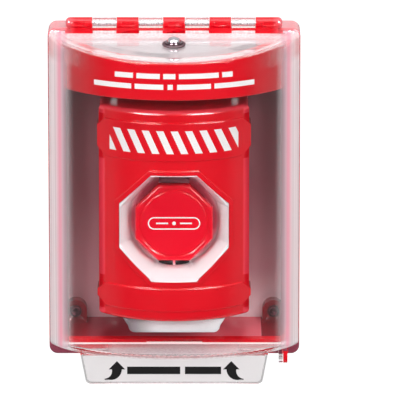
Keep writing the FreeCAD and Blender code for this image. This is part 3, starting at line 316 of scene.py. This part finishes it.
def printed(name, print_of, shade_of):
    """Red plastic with painted light and shade and white print, by functions of x and z."""
    made, shader, place = material(name, Specular_IOR_Level=0.5)
    x, _, z = place.split()
    red = shade_of(x, z, place.noise(*RED_MOTTLE).tint(DEEP_RED, RED))
    connect(shader, Base_Color=print_of(x, z).tint(red, PRINT_WHITE))
    moulded_skin(shader, place, RED_GRAIN, RED_PEEL, 0.14, 0.2)
    return made


def bars(x, z, rows):
    """A mask of flat bars, each row given by its middle height, its height and its spans."""
    mask = None
    for middle, height, spans in rows:
        row = (z - middle).size() < height / 2
        spread = None
        for left, right in spans:
            span = (x - (left + right) / 2).size() < (right - left) / 2
            spread = span if spread is None else spread.either(span)
        part = row * spread
        mask = part if mask is None else mask.either(part)
    return mask


def belt_stripes(x, z):
    """Slanting white stripes in a band across the shell's upper belt."""
    band = ((z - UPPER_BELT_Z).size() < STRIPES_HALF[1]) * (x.size() < STRIPES_HALF[0])
    slant = x + z * STRIPE_LEAN
    wave = slant.result(
        "ShaderNodeMath", {"operation": "PINGPONG"}, i0=slant + 1.0, i1=STRIPE_PITCH / 2)
    return band * (wave > STRIPE_PITCH / 4)


def shell_shade(x, z, red):
    """The shell's red, with painted light on its rounded corners between the belts and on top."""
    belts = ((z - UPPER_BELT_Z).size() < UPPER_BELT_HALF).either(
        (z - LOWER_BELT_Z).size() < LOWER_BELT_HALF)
    corners = x.size().ramp(*CORNER_SPAN) * (x.size() < CORNER_END) * (1.0 - belts)
    return z.ramp(*CROWN_RISE).tint(corners.tint(red, CORNER_LIGHT_RED), CROWN_LIGHT_RED)


def band_dashes(x, z):
    """Two lines of plain white dashes on the sounder's band."""
    return bars(x, z, [
        (UPPER_DASHES_Z, DASH_HEIGHT, UPPER_DASHES), (LOWER_DASHES_Z, DASH_HEIGHT, LOWER_DASHES)])


def band_shade(x, z, red):
    """The band's red, with painted shade towards its two ends."""
    return x.size().ramp(*BAND_SPAN).tint(red, BAND_END_SHADE_RED)


dress("station_shell", printed("red_shell", belt_stripes, shell_shade))
dress("horn_housing", printed("red_horn", band_dashes, band_shade))

# Button cap
# The octagonal button that is pressed, moulded in a slightly brighter red and polished, with a
# plain white ring, two short bars and a dot printed on its face.

BUTTON_RED = linear(232, 12, 40)
BUTTON_Z = -0.0135
RING_HALF = 0.0150
RING_RADIUS = 0.0034
RING_LINE_HALF = 0.00035
DOT_RADIUS = 0.0011
BUTTON_BAR_HEIGHT = 0.0009
BUTTON_BARS = [(-0.0105, -0.0035), (0.0035, 0.0105)]

button_red, button_shader, button_place = material("button_red", Specular_IOR_Level=0.5)
button_x, _, button_z = button_place.split()
button_rise = button_z - BUTTON_Z
past_middle = (button_x.size() - (RING_HALF - RING_RADIUS)).either(0.0)
from_line = (past_middle * past_middle + button_rise * button_rise).root()
ring = (from_line - RING_RADIUS).size() < RING_LINE_HALF
dot = (button_x * button_x + button_rise * button_rise) < DOT_RADIUS ** 2
button_bars = bars(button_x, button_z, [(BUTTON_Z, BUTTON_BAR_HEIGHT, BUTTON_BARS)])
connect(button_shader, Base_Color=ring.either(dot.either(button_bars)).tint(
    BUTTON_RED, PRINT_WHITE))
moulded_skin(button_shader, button_place, 700.0, RED_PEEL, 0.12, 0.18)
dress("button_cap", button_red)

# Bezel and station base
# White satin mouldings: the funnel round the button, whose throat and upper slopes have a painted
# pink reflection of the red round them, and the base whose chin shows below the shell, with
# painted shade at its left.

FUNNEL_WHITE = linear(244, 248, 250)
FUNNEL_SHADE = linear(236, 241, 244)
# Painted pink reflection of the red round the funnel: in its throat and on its upper slopes.
SLOPE_REFLECTION_PINK = linear(255, 176, 190)
THROAT_REFLECTION_PINK = linear(255, 112, 136)
THROAT_FALL = (0.0240, 0.0285, 1.0, 0.0)
SLOPE_RISE = (0.008, 0.024)
SLOPE_FADE = (0.0300, 0.0335, 0.8, 0.3)
CHIN_WHITE = linear(232, 232, 235)
CHIN_SHADE = linear(130, 116, 122)
CHIN_SPAN = (-0.027, -0.008)
SATIN_MOTTLE = (25.0, 3.0)
SATIN_SKIN = (600.0, 0.0003)
SATIN_GLOSS = (0.32, 0.42)

funnel_white, funnel_shader, funnel_place = material("funnel_white")
funnel_x, _, funnel_z = funnel_place.split()
funnel_rise = funnel_z - BUTTON_Z
from_axis = (funnel_x * funnel_x + funnel_rise * funnel_rise).root()
# Painted pink reflection on the upper slopes and in the throat.
slope = funnel_rise.ramp(*SLOPE_RISE) * from_axis.ramp(*SLOPE_FADE)
funnel_skin = slope.tint(
    funnel_place.noise(*SATIN_MOTTLE).tint(FUNNEL_SHADE, FUNNEL_WHITE), SLOPE_REFLECTION_PINK)
connect(
    funnel_shader, Base_Color=from_axis.ramp(*THROAT_FALL).tint(funnel_skin, THROAT_REFLECTION_PINK))
moulded_skin(funnel_shader, funnel_place, *SATIN_SKIN, *SATIN_GLOSS)
dress("bezel", funnel_white)

base_white, base_shader, base_place = material("base_white")
base_x, _, _ = base_place.split()
# Painted shade on the chin's left.
connect(base_shader, Base_Color=base_x.ramp(*CHIN_SPAN).tint(CHIN_SHADE, CHIN_WHITE))
moulded_skin(base_shader, base_place, *SATIN_SKIN, *SATIN_GLOSS)
dress("station_base", base_white)

# Sounder lid
# The pale half-round lid that closes the sounder's housing from above. Near its front arc it has
# painted patches of shade and reflection of the parts round it, and its rolled edge is the
# housing's red.

LID_PALE = linear(198, 188, 192)
LID_SHADE = linear(186, 176, 181)
# Painted patches of shade and reflection near the lid's front arc.
SHADE_PATCH_LIGHT = linear(176, 150, 156)
SHADE_PATCH_DARK = linear(92, 66, 74)
LID_RADIUS = 0.0733
LID_CENTRE = 0.0006
SHADE_PATCHES = (48.0, 1.0)
SHADE_PATCH_RISE = (0.45, 0.60)
SHADE_PATCH_REACH = (LID_RADIUS - 0.0150, LID_RADIUS - 0.0120)
EDGE_REACH = (LID_RADIUS - 0.0066, LID_RADIUS - 0.0056)

pale_plastic, pale_shader, pale_place = material("pale_plastic")
pale_x, pale_y, _ = pale_place.split()
lid_reach = pale_y + LID_CENTRE
lid_round = (pale_x * pale_x + lid_reach * lid_reach).root()
# Painted shade and reflection in patches near the front arc.
painted_shade_patches = pale_place.noise(*SHADE_PATCHES).ramp(*SHADE_PATCH_RISE).tint(SHADE_PATCH_LIGHT, SHADE_PATCH_DARK)
lid_skin = lid_round.ramp(*SHADE_PATCH_REACH).tint(
    pale_place.noise(*SATIN_MOTTLE).tint(LID_SHADE, LID_PALE), painted_shade_patches)
connect(pale_shader, Base_Color=lid_round.ramp(*EDGE_REACH).tint(lid_skin, RED))
moulded_skin(pale_shader, pale_place, *SATIN_SKIN, *SATIN_GLOSS)
dress("horn_lid", pale_plastic)

# Backing plate
# The grey plate behind the station. Under the sounder it has painted mauve shade, and painted
# light makes it lighter towards the foot, most of all at the right.

# Painted shade under the sounder, painted light towards the foot and the right.
PLATE_SHADOW = linear(146, 78, 90)
PLATE_LIT_LEFT = linear(202, 152, 162)
PLATE_LIT_RIGHT = linear(250, 226, 232)
PLATE_RISE = (-0.086, 0.010)
PLATE_SPAN = (-0.020, 0.050)
PLATE_FALL = (-0.080, -0.048, 1.0, 0.0)
MATT_GLOSS = (0.4, 0.55)

grey_plastic, grey_shader, grey_place = material("grey_plastic")
grey_x, _, grey_z = grey_place.split()
# Painted light at the lower right, painted shade at the top.
painted_gleam = grey_x.ramp(*PLATE_SPAN) * grey_z.ramp(*PLATE_FALL)
connect(grey_shader, Base_Color=grey_z.ramp(*PLATE_RISE).tint(
    painted_gleam.tint(PLATE_LIT_LEFT, PLATE_LIT_RIGHT), PLATE_SHADOW))
moulded_skin(grey_shader, grey_place, *SATIN_SKIN, *MATT_GLOSS)
dress("backing_plate", grey_plastic)

# Inner pieces, gasket and lenses
# The foam against the wall, the black contact blocks and stem, the battery and its clip, the
# boards with their lamps, and the smoked lenses, each in one plain material with a faint mottle.


def satin(name, colour, shade, gloss):
    """A moulded or coated surface with a faint mottle between two shades of one colour."""
    made, shader, place = material(name, Base_Color=colour)
    connect(shader, Base_Color=place.noise(*SATIN_MOTTLE).tint(shade, colour))
    moulded_skin(shader, place, *SATIN_SKIN, *gloss)
    return made


LENS_GLOSS = (0.12, 0.2)
white_plastic = satin("white_plastic", linear(232, 237, 240), linear(224, 229, 232), SATIN_GLOSS)
black_plastic = satin("black_plastic", linear(34, 32, 34), linear(26, 25, 27), MATT_GLOSS)
battery_wrap = satin("battery_wrap", linear(62, 62, 68), linear(52, 52, 58), (0.3, 0.4))
foam = satin("foam", linear(44, 43, 44), linear(30, 29, 30), (0.85, 0.95))
board = satin("board", linear(28, 92, 48), linear(20, 78, 40), (0.3, 0.5))
lamp_lens = satin("lamp_lens", linear(226, 224, 214), linear(214, 210, 200), (0.2, 0.3))
smoked_lens = satin("smoked_lens", linear(190, 136, 148), linear(56, 32, 42), LENS_GLOSS)
dark_lens = satin("dark_lens", linear(44, 26, 32), linear(30, 18, 24), LENS_GLOSS)
rubber = satin("rubber", linear(70, 26, 40), linear(58, 20, 32), (0.5, 0.65))
for node in ("button_stem", "contact_block_left", "contact_block_right", "battery_clip", "sounder"):
    dress(node, black_plastic)
dress("contact_plungers", white_plastic)
dress("battery", battery_wrap)
dress("wall_gasket", foam)
dress("horn_board", board)
dress("lamp_board", board)
dress("indicator_lamps", lamp_lens)
dress("upper_lens", smoked_lens)
dress("lower_lens", dark_lens)
dress("sealing_washer", rubber)

# Metal pieces
# Chrome-plated dome screw and washer on the cover, zinc-plated screws and pin, the stem's clip,
# the brass terminal screws and the magnet, each with faint turning or drawing marks.

MARKS = (60.0, 4.0)
MARKS_LENGTH = 12
MARKS_STRENGTH = 0.1
MARKS_DEPTH = 0.0001
GLOSS_SHARE = (0.7, 1.3)


def metal(name, colour, rough, streaks):
    """Turned or drawn metal, whose long fine marks change its gloss a little."""
    made, shader, place = material(name, Base_Color=colour, Metallic=1.0)
    stretched = place.result(
        "ShaderNodeMapping", i0=place, Scale=(streaks, streaks, streaks / MARKS_LENGTH))
    marks = stretched.noise(*MARKS)
    gloss = place.result(
        "ShaderNodeMapRange", Value=marks, i1=0.3, i2=0.7, i3=rough * GLOSS_SHARE[0],
        i4=rough * GLOSS_SHARE[1])
    bump = place.result(
        "ShaderNodeBump", Height=marks, Strength=MARKS_STRENGTH, Distance=MARKS_DEPTH)
    connect(shader, Roughness=gloss, Normal=bump)
    return made


chrome = metal("chrome", linear(176, 174, 178), 0.06, 20.0)
dark_chrome = metal("dark_chrome", linear(104, 82, 90), 0.10, 20.0)
zinc = metal("zinc_steel", linear(196, 196, 200), 0.28, 30.0)
# Screws darkened and reddened: painted shade and red reflection where they sit among red parts.
shaded_red_zinc = metal("shaded_red_zinc", linear(84, 40, 48), 0.55, 30.0)
wire = metal("spring_steel", linear(178, 178, 184), 0.25, 30.0)
brass = metal("brass", linear(206, 172, 100), 0.3, 30.0)
magnet = metal("magnet", linear(92, 92, 96), 0.5, 30.0)
dress("horn_screw", chrome)
dress("steel_washer", dark_chrome)
for node in ("hinge_pin", "lid_screws", "horn_nut", "station_screws"):
    dress(node, zinc)
for node in ("frame_screws", "shell_screws"):
    dress(node, shaded_red_zinc)
dress("stem_clip", wire)
dress("terminal_screws", brass)
dress("cover_magnet", magnet)

# Return spring
# The steel coil between the bezel's floor and the button, which the button presses 4 mm shorter;
# here it is given a mesh of its own.

spring = dress("return_spring", wire)
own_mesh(spring)

# Clear cover and reed switch
# The lift-up cover is one clear polycarbonate moulding on the hinge pin, and the reed switch is a
# small glass tube. Light passes the cover unbent on its way to the pieces inside, while to the
# eye it bends a little; its edges are pale with painted reflection and painted sheen, and a painted
# glowing line lies along its bottom rim.

# Painted reflection on the cover's pale edges, white, pink for the red frame and greyer beside it.
EDGE_REFLECTION_WHITE = linear(242, 230, 234)
DARK = (0.0, 0.0, 0.0, 1.0)
LIT = (1.0, 1.0, 1.0, 1.0)
STREAK_DARK = linear(236, 224, 228)
STREAK_PALE = linear(255, 250, 252)
STREAKS = (700.0, 2.0)
STREAK_STRETCH = (1.0, 1.0, 0.004)
STREAK_RISE = (0.35, 0.65)
FRAME_REFLECTION_PINK = linear(255, 182, 200)
EDGE_REFLECTION_GREY = linear(228, 196, 206)
OUTLINE = linear(168, 140, 147)
OUTLINE_SIDE = 0.0738
PINK_SPAN = (0.0646, 0.0670)
PINK_FADE = (0.0672, 0.0702, 1.0, 0.0)
GREY_SPAN = (0.0620, 0.0640)
GREY_FADE = (0.0646, 0.0670, 1.0, 0.0)
WAVES = (12.0, 2.0)
WAVE_STRENGTH = 0.03
WAVE_DEPTH = 0.001
PALE_SHARE = 0.82
COVER_FACING = (0.37, 0.53)
GLASS_FACING = (0.60, 0.95)
# A painted glowing line along the cover's bottom rim stands for a highlight there.
PAINTED_GLOW_FACING = (0.66, 0.80)
PAINTED_GLOW = 0.85
COVER_REAR = 0.0243
COVER_CENTRE = 0.0006
TOP_SLOPE = 0.1263
TOP_UNDERSIDE = 0.0936
TOP_REACH = (0.038, 0.054, 0.0790 ** 2, 0.0738 ** 2)
TOP_DEPTH = (0.034, 0.044)
TOP_HIGH = 0.0976
TOP_CLEAR = 0.72
# Painted sheen: the rear, lip, strip, knuckles and bottom turn whiter.
REAR_SHEEN = (0.040, 0.048, 0.55, 0.0)
DRUM_HALF = 0.0865
SIDE_SPAN = (0.050, 0.060)
SHADE_SPAN = (0.034, 0.042)
SHADE_FADE = (0.056, 0.062, 0.7, 0.0)
LIP_FRONT = 0.0279
LIP_RISE = (0.0955, 0.0980)
LIP_SHEEN = 0.72
STRIP_RISE = (0.0981, 0.1003)
STRIP_SHEEN = 0.6
KNUCKLE_LOW = 0.1008
KNUCKLE_SHEEN = 0.2
BOTTOM_SLOPE = 0.0875
BOTTOM_UPPERSIDE = -0.0932
BOTTOM_DEPTH = 0.0400
BOTTOM_SHEEN = (0.030, 0.052, 0.36, 0.05)
RIM_DEPTH = 0.0362
RIM_HIGH = -0.0850
RIM_SIDE = 0.0662
RIM_PAINTED_GLOW = 0.88
ARC_RISE = (0.0800, 0.0860)
ARC_RADIUS = 0.0718
ARC_THIN = (0.034, 0.054, 0.84, 0.30)


def clear(name, colour, index, edge, tints_of=None, parts_of=None):
    """Clear plastic that refracts, and at a low angle turns pale, partly real gloss, partly
    painted.
    """
    made, shader, place = material(
        name, Base_Color=colour, IOR=index, Transmission_Weight=1.0, Roughness=0.0)
    output = made.node_tree.nodes["Material Output"]
    facing = place.result("ShaderNodeLayerWeight", output=1, Blend=0.5)
    # At a low angle a pale lit face, partly real gloss and partly painted reflection.
    pale = facing.ramp(*edge, 0.0, PALE_SHARE)
    polish = place.node(
        "ShaderNodeBsdfPrincipled", Base_Color=EDGE_REFLECTION_WHITE, Roughness=0.08, IOR=1.5)
    mirrored, bent, shadow, diffuse = place.rays("Glossy", "Transmission", "Shadow", "Diffuse")
    passing = (mirrored - bent).either(shadow.either(diffuse))
    if tints_of:
        connect(polish, Base_Color=tints_of(place))
    if parts_of:
        curved, painted_sheen, rim, unbent = parts_of(place)
        # The painted glowing line on the bottom rim, emitting though it is no lamp.
        painted_glow = rim * facing.ramp(*PAINTED_GLOW_FACING)
        pale = (pale * curved).either(painted_sheen.either(painted_glow))
        polish.inputs["Emission Strength"].default_value = PAINTED_GLOW
        connect(polish, Emission_Color=painted_glow.tint(DARK, LIT))
        passing = passing.either(unbent)
    body = place.result(
        "ShaderNodeMixShader", i0=pale, i1=Shader(place.tree, shader.outputs["BSDF"]),
        i2=Shader(place.tree, polish.outputs["BSDF"]))
    through = place.result("ShaderNodeBsdfTransparent", Color=colour)
    both = place.result("ShaderNodeMixShader", i0=passing, i1=body, i2=through)
    place.tree.links.new(both.socket, output.inputs["Surface"])
    bump = place.result(
        "ShaderNodeBump", Height=place.noise(*WAVES), Strength=WAVE_STRENGTH, Distance=WAVE_DEPTH)
    connect(shader, Normal=bump)
    return made


def side_reflection_tints(place):
    """Painted reflection on the pale edge: pink for the red frame, greyer beside it, streaky."""
    x, _, z = place.split()
    across = x.size()
    drawn = place.result("ShaderNodeMapping", i0=place, Scale=STREAK_STRETCH)
    streaks = drawn.noise(*STREAKS).ramp(*STREAK_RISE).tint(STREAK_DARK, STREAK_PALE)
    # Painted pink reflection of the red frame, and greyer next to it.
    pink = across.ramp(*PINK_SPAN) * across.ramp(*PINK_FADE)
    grey = across.ramp(*GREY_SPAN) * across.ramp(*GREY_FADE)
    tinted = (across > OUTLINE_SIDE).tint(streaks, OUTLINE)
    tinted = grey.tint(pink.tint(tinted, FRAME_REFLECTION_PINK), EDGE_REFLECTION_GREY)
    # Painted red under the hinge, for the red parts reflected there.
    return ((z > STRIP_RISE[0]) * (z < STRIP_RISE[1])).tint(tinted, RED)


def cover_parts(place):
    """The cover's pale edges, painted sheen, painted glowing rim line and thin front parts."""
    x, y, z = place.split()
    across = x.size()
    depth = y * -1.0
    reach = depth - COVER_CENTRE
    round_square = x * x + reach * reach
    top = (z + (depth - COVER_REAR) * TOP_SLOPE) > TOP_UNDERSIDE
    plate = top * (round_square < across.ramp(*TOP_REACH)) * depth.ramp(*TOP_DEPTH)
    plate = plate * (z < TOP_HIGH) * TOP_CLEAR
    shade = (z < -DRUM_HALF) * across.ramp(*SHADE_SPAN) * across.ramp(*SHADE_FADE)
    sides = across.ramp(*SIDE_SPAN).either(z.size() > DRUM_HALF)
    curved = sides * (1.0 - plate) * (1.0 - shade)
    # Painted sheen that makes the rear, lip, knuckles and bottom whiter.
    rear = top * depth.ramp(*REAR_SHEEN) * (z < STRIP_RISE[0])
    lip = ((z < LIP_RISE[1]) * LIP_SHEEN).either((z < STRIP_RISE[1]) * STRIP_SHEEN)
    lip = lip * (depth < LIP_FRONT) * (z > LIP_RISE[0])
    bottom = ((z - depth * BOTTOM_SLOPE) < BOTTOM_UPPERSIDE) * (depth > BOTTOM_DEPTH)
    bottom = bottom * across.ramp(*BOTTOM_SHEEN)
    painted_sheen = ((z > KNUCKLE_LOW) * KNUCKLE_SHEEN).either(lip).either(bottom).either(rear)
    # Where the painted glowing highlight line lies along the bottom rim.
    rim = (depth < RIM_DEPTH) * (z < RIM_HIGH) * (across < RIM_SIDE) * RIM_PAINTED_GLOW
    arc = z.ramp(*ARC_RISE) * (round_square > ARC_RADIUS ** 2) * across.ramp(*ARC_THIN)
    return curved, painted_sheen, rim, arc


clear_plastic = clear(
    "clear_plastic", linear(253, 252, 252), 1.30, COVER_FACING, side_reflection_tints, cover_parts)
reed_glass = clear("reed_glass", linear(225, 235, 225), 1.4, GLASS_FACING)
dress("clear_cover", clear_plastic)
dress("reed_switch", reed_glass)

# Lift label
# A thin printed film stuck on the front of the lift tab, pale grey with two black curved arrows
# and two plain black bars between them.

LABEL_GREY = linear(215, 211, 212)
LABEL_BLACK = linear(22, 20, 21)
LABEL_Z = -0.1005
ARROW_SIDE = 0.0338
HEAD_HEIGHT = 0.0051
HEAD_SLOPE = 1.04
OUTER_CENTRE = -0.0036
OUTER_RADIUS = 0.00645
INNER_CENTRE = (-0.0077, -0.0009)
INNER_RADIUS = 0.00480
TAIL_END = -0.0073
TAIL_FOOT = -0.0063
TAIL_TOP = 0.0002
LABEL_BARS_DROP = 0.0006
LABEL_BARS_HEIGHT = 0.0046
LABEL_BARS = [(-0.0278, 0.0036), (0.0064, 0.0278)]


def arrow(x, z, side):
    """An arrow that curves up from one side: a triangle, and a tail between two circles."""
    across = x * side + ARROW_SIDE
    above = z - LABEL_Z
    head = (above > 0.0) * ((above + across.size() * HEAD_SLOPE) < HEAD_HEIGHT)
    to_outer = across - OUTER_CENTRE
    outer = (to_outer * to_outer + above * above) < OUTER_RADIUS ** 2
    to_inner = across - INNER_CENTRE[0]
    below = above - INNER_CENTRE[1]
    inner = (to_inner * to_inner + below * below) > INNER_RADIUS ** 2
    foot = (across < OUTER_CENTRE) * (above > TAIL_FOOT)
    tail = outer.either(foot) * inner * (above < TAIL_TOP) * (across > TAIL_END)
    return head.either(tail)


label_film, label_shader, label_place = material(
    "label_film", Roughness=0.35, Specular_IOR_Level=0.15)
label_x, _, label_z = label_place.split()
label_print = arrow(label_x, label_z, 1.0).either(arrow(label_x, label_z, -1.0)).either(
    bars(label_x, label_z, [(LABEL_Z - LABEL_BARS_DROP, LABEL_BARS_HEIGHT, LABEL_BARS)]))
connect(label_shader, Base_Color=label_print.tint(LABEL_GREY, LABEL_BLACK))
dress("lift_label", label_film)

# Floor
# A pale floor well below the part, which hangs where its wall would be. Seen in the gloss of the
# part it is grey in front, so that the red stays deep.

low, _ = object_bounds()
DROP = 1.2
FLOOR_PALE = linear(238, 238, 238)
FLOOR_GREY = linear(92, 92, 92)
FLOOR_HALF = 30.0
FLOOR_GLOW = 0.65
FRONT_HEADING = (-0.50, -0.05)

floor_mesh = bpy.data.meshes.new("floor")
edges = bmesh.new()
bmesh.ops.create_grid(edges, x_segments=1, y_segments=1, size=FLOOR_HALF)
bmesh.ops.translate(edges, verts=edges.verts, vec=(0, 0, low[2] - DROP))
edges.to_mesh(floor_mesh)
edges.free()
floor = bpy.data.objects.new("floor", floor_mesh)
bpy.context.scene.collection.objects.link(floor)
floor_paint, floor_shader, floor_place = material(
    "floor_paint", Base_Color=FLOOR_PALE, Roughness=0.9, Emission_Strength=FLOOR_GLOW)
floor_seen, floor_mirrored, floor_bent = floor_place.rays("Camera", "Glossy", "Transmission")
floor_way = floor_place.result("ShaderNodeVectorMath", {"operation": "NORMALIZE"}, i0=floor_place)
_, floor_heading, _ = floor_way.split()
front_floor = (floor_mirrored - floor_bent) * floor_heading.ramp(*FRONT_HEADING, 1.0, 0.0)
connect(
    floor_shader, Emission_Color=floor_seen.tint(DARK, LIT),
    Base_Color=front_floor.tint(FLOOR_PALE, FLOOR_GREY))
floor_mesh.materials.append(floor_paint)

# Light and camera
# One soft lamp overhead, one at each side, and two that only show as glints on polished edges,
# in a white room; and a long lens a little above the part, as in the photograph.


def soft_lamp(name, place, wide, tall, power):
    """A rectangular lamp that is turned towards the part."""
    data = bpy.data.lights.new(name, "AREA")
    data.shape = "RECTANGLE"
    data.size = wide
    data.size_y = tall
    data.energy = power
    lamp = bpy.data.objects.new(name, data)
    lamp.location = place
    lamp.rotation_euler = (-Vector(place)).to_track_quat("-Z", "Y").to_euler()
    bpy.context.scene.collection.objects.link(lamp)
    return lamp


LAMP_SIDE = 1.18
LAMP_FRONT = -1.62
soft_lamp("overhead", (0.0, -0.75, 1.9), wide=1.1, tall=1.1, power=15.5)
for side in (-1, 1):
    soft_lamp("side_lamp", (side * LAMP_SIDE, LAMP_FRONT, 0.8), wide=1.2, tall=0.9, power=17.0)
for side in (-1, 1):
    glint = soft_lamp(
        "glint", (side * LAMP_SIDE, LAMP_FRONT, 1.02), wide=1.2, tall=1.15, power=210.0)
    glint.visible_diffuse = False

ROOM_LIGHT = 0.5
ROOM_GLOSS = (0.06, 1.0)
world = bpy.data.worlds.new("studio")
bpy.context.scene.world = world
world.use_nodes = True
sky = world.node_tree.nodes["Background"]
sky.inputs["Color"].default_value = LIT
directions = world.node_tree.nodes.new("ShaderNodeTexCoord")
around = Shader(world.node_tree, directions.outputs["Generated"])
_, heading, _ = around.split()
seen, bent, mirrored = around.rays("Camera", "Transmission", "Glossy")
strength = seen.either(bent).either(mirrored * heading.ramp(*FRONT_HEADING, *ROOM_GLOSS))
strength = strength.either(ROOM_LIGHT * (1.0 - mirrored))
world.node_tree.links.new(strength.socket, sky.inputs["Strength"])

ELEVATION = math.radians(13.0)
DISTANCE = 3.3
FRAME_SPAN = 0.2360
target = Vector((0.0153, -0.040, -0.0012))
camera_data = bpy.data.cameras.new("camera")
camera_data.sensor_width = 36.0
camera_data.lens = camera_data.sensor_width * DISTANCE / FRAME_SPAN
camera = bpy.data.objects.new("camera", camera_data)
camera.location = target + DISTANCE * Vector((0, -math.cos(ELEVATION), math.sin(ELEVATION)))
camera.rotation_euler = (target - camera.location).to_track_quat("-Z", "Y").to_euler()
bpy.context.scene.collection.objects.link(camera)
bpy.context.scene.camera = camera
bpy.context.scene.view_settings.view_transform = "Standard"
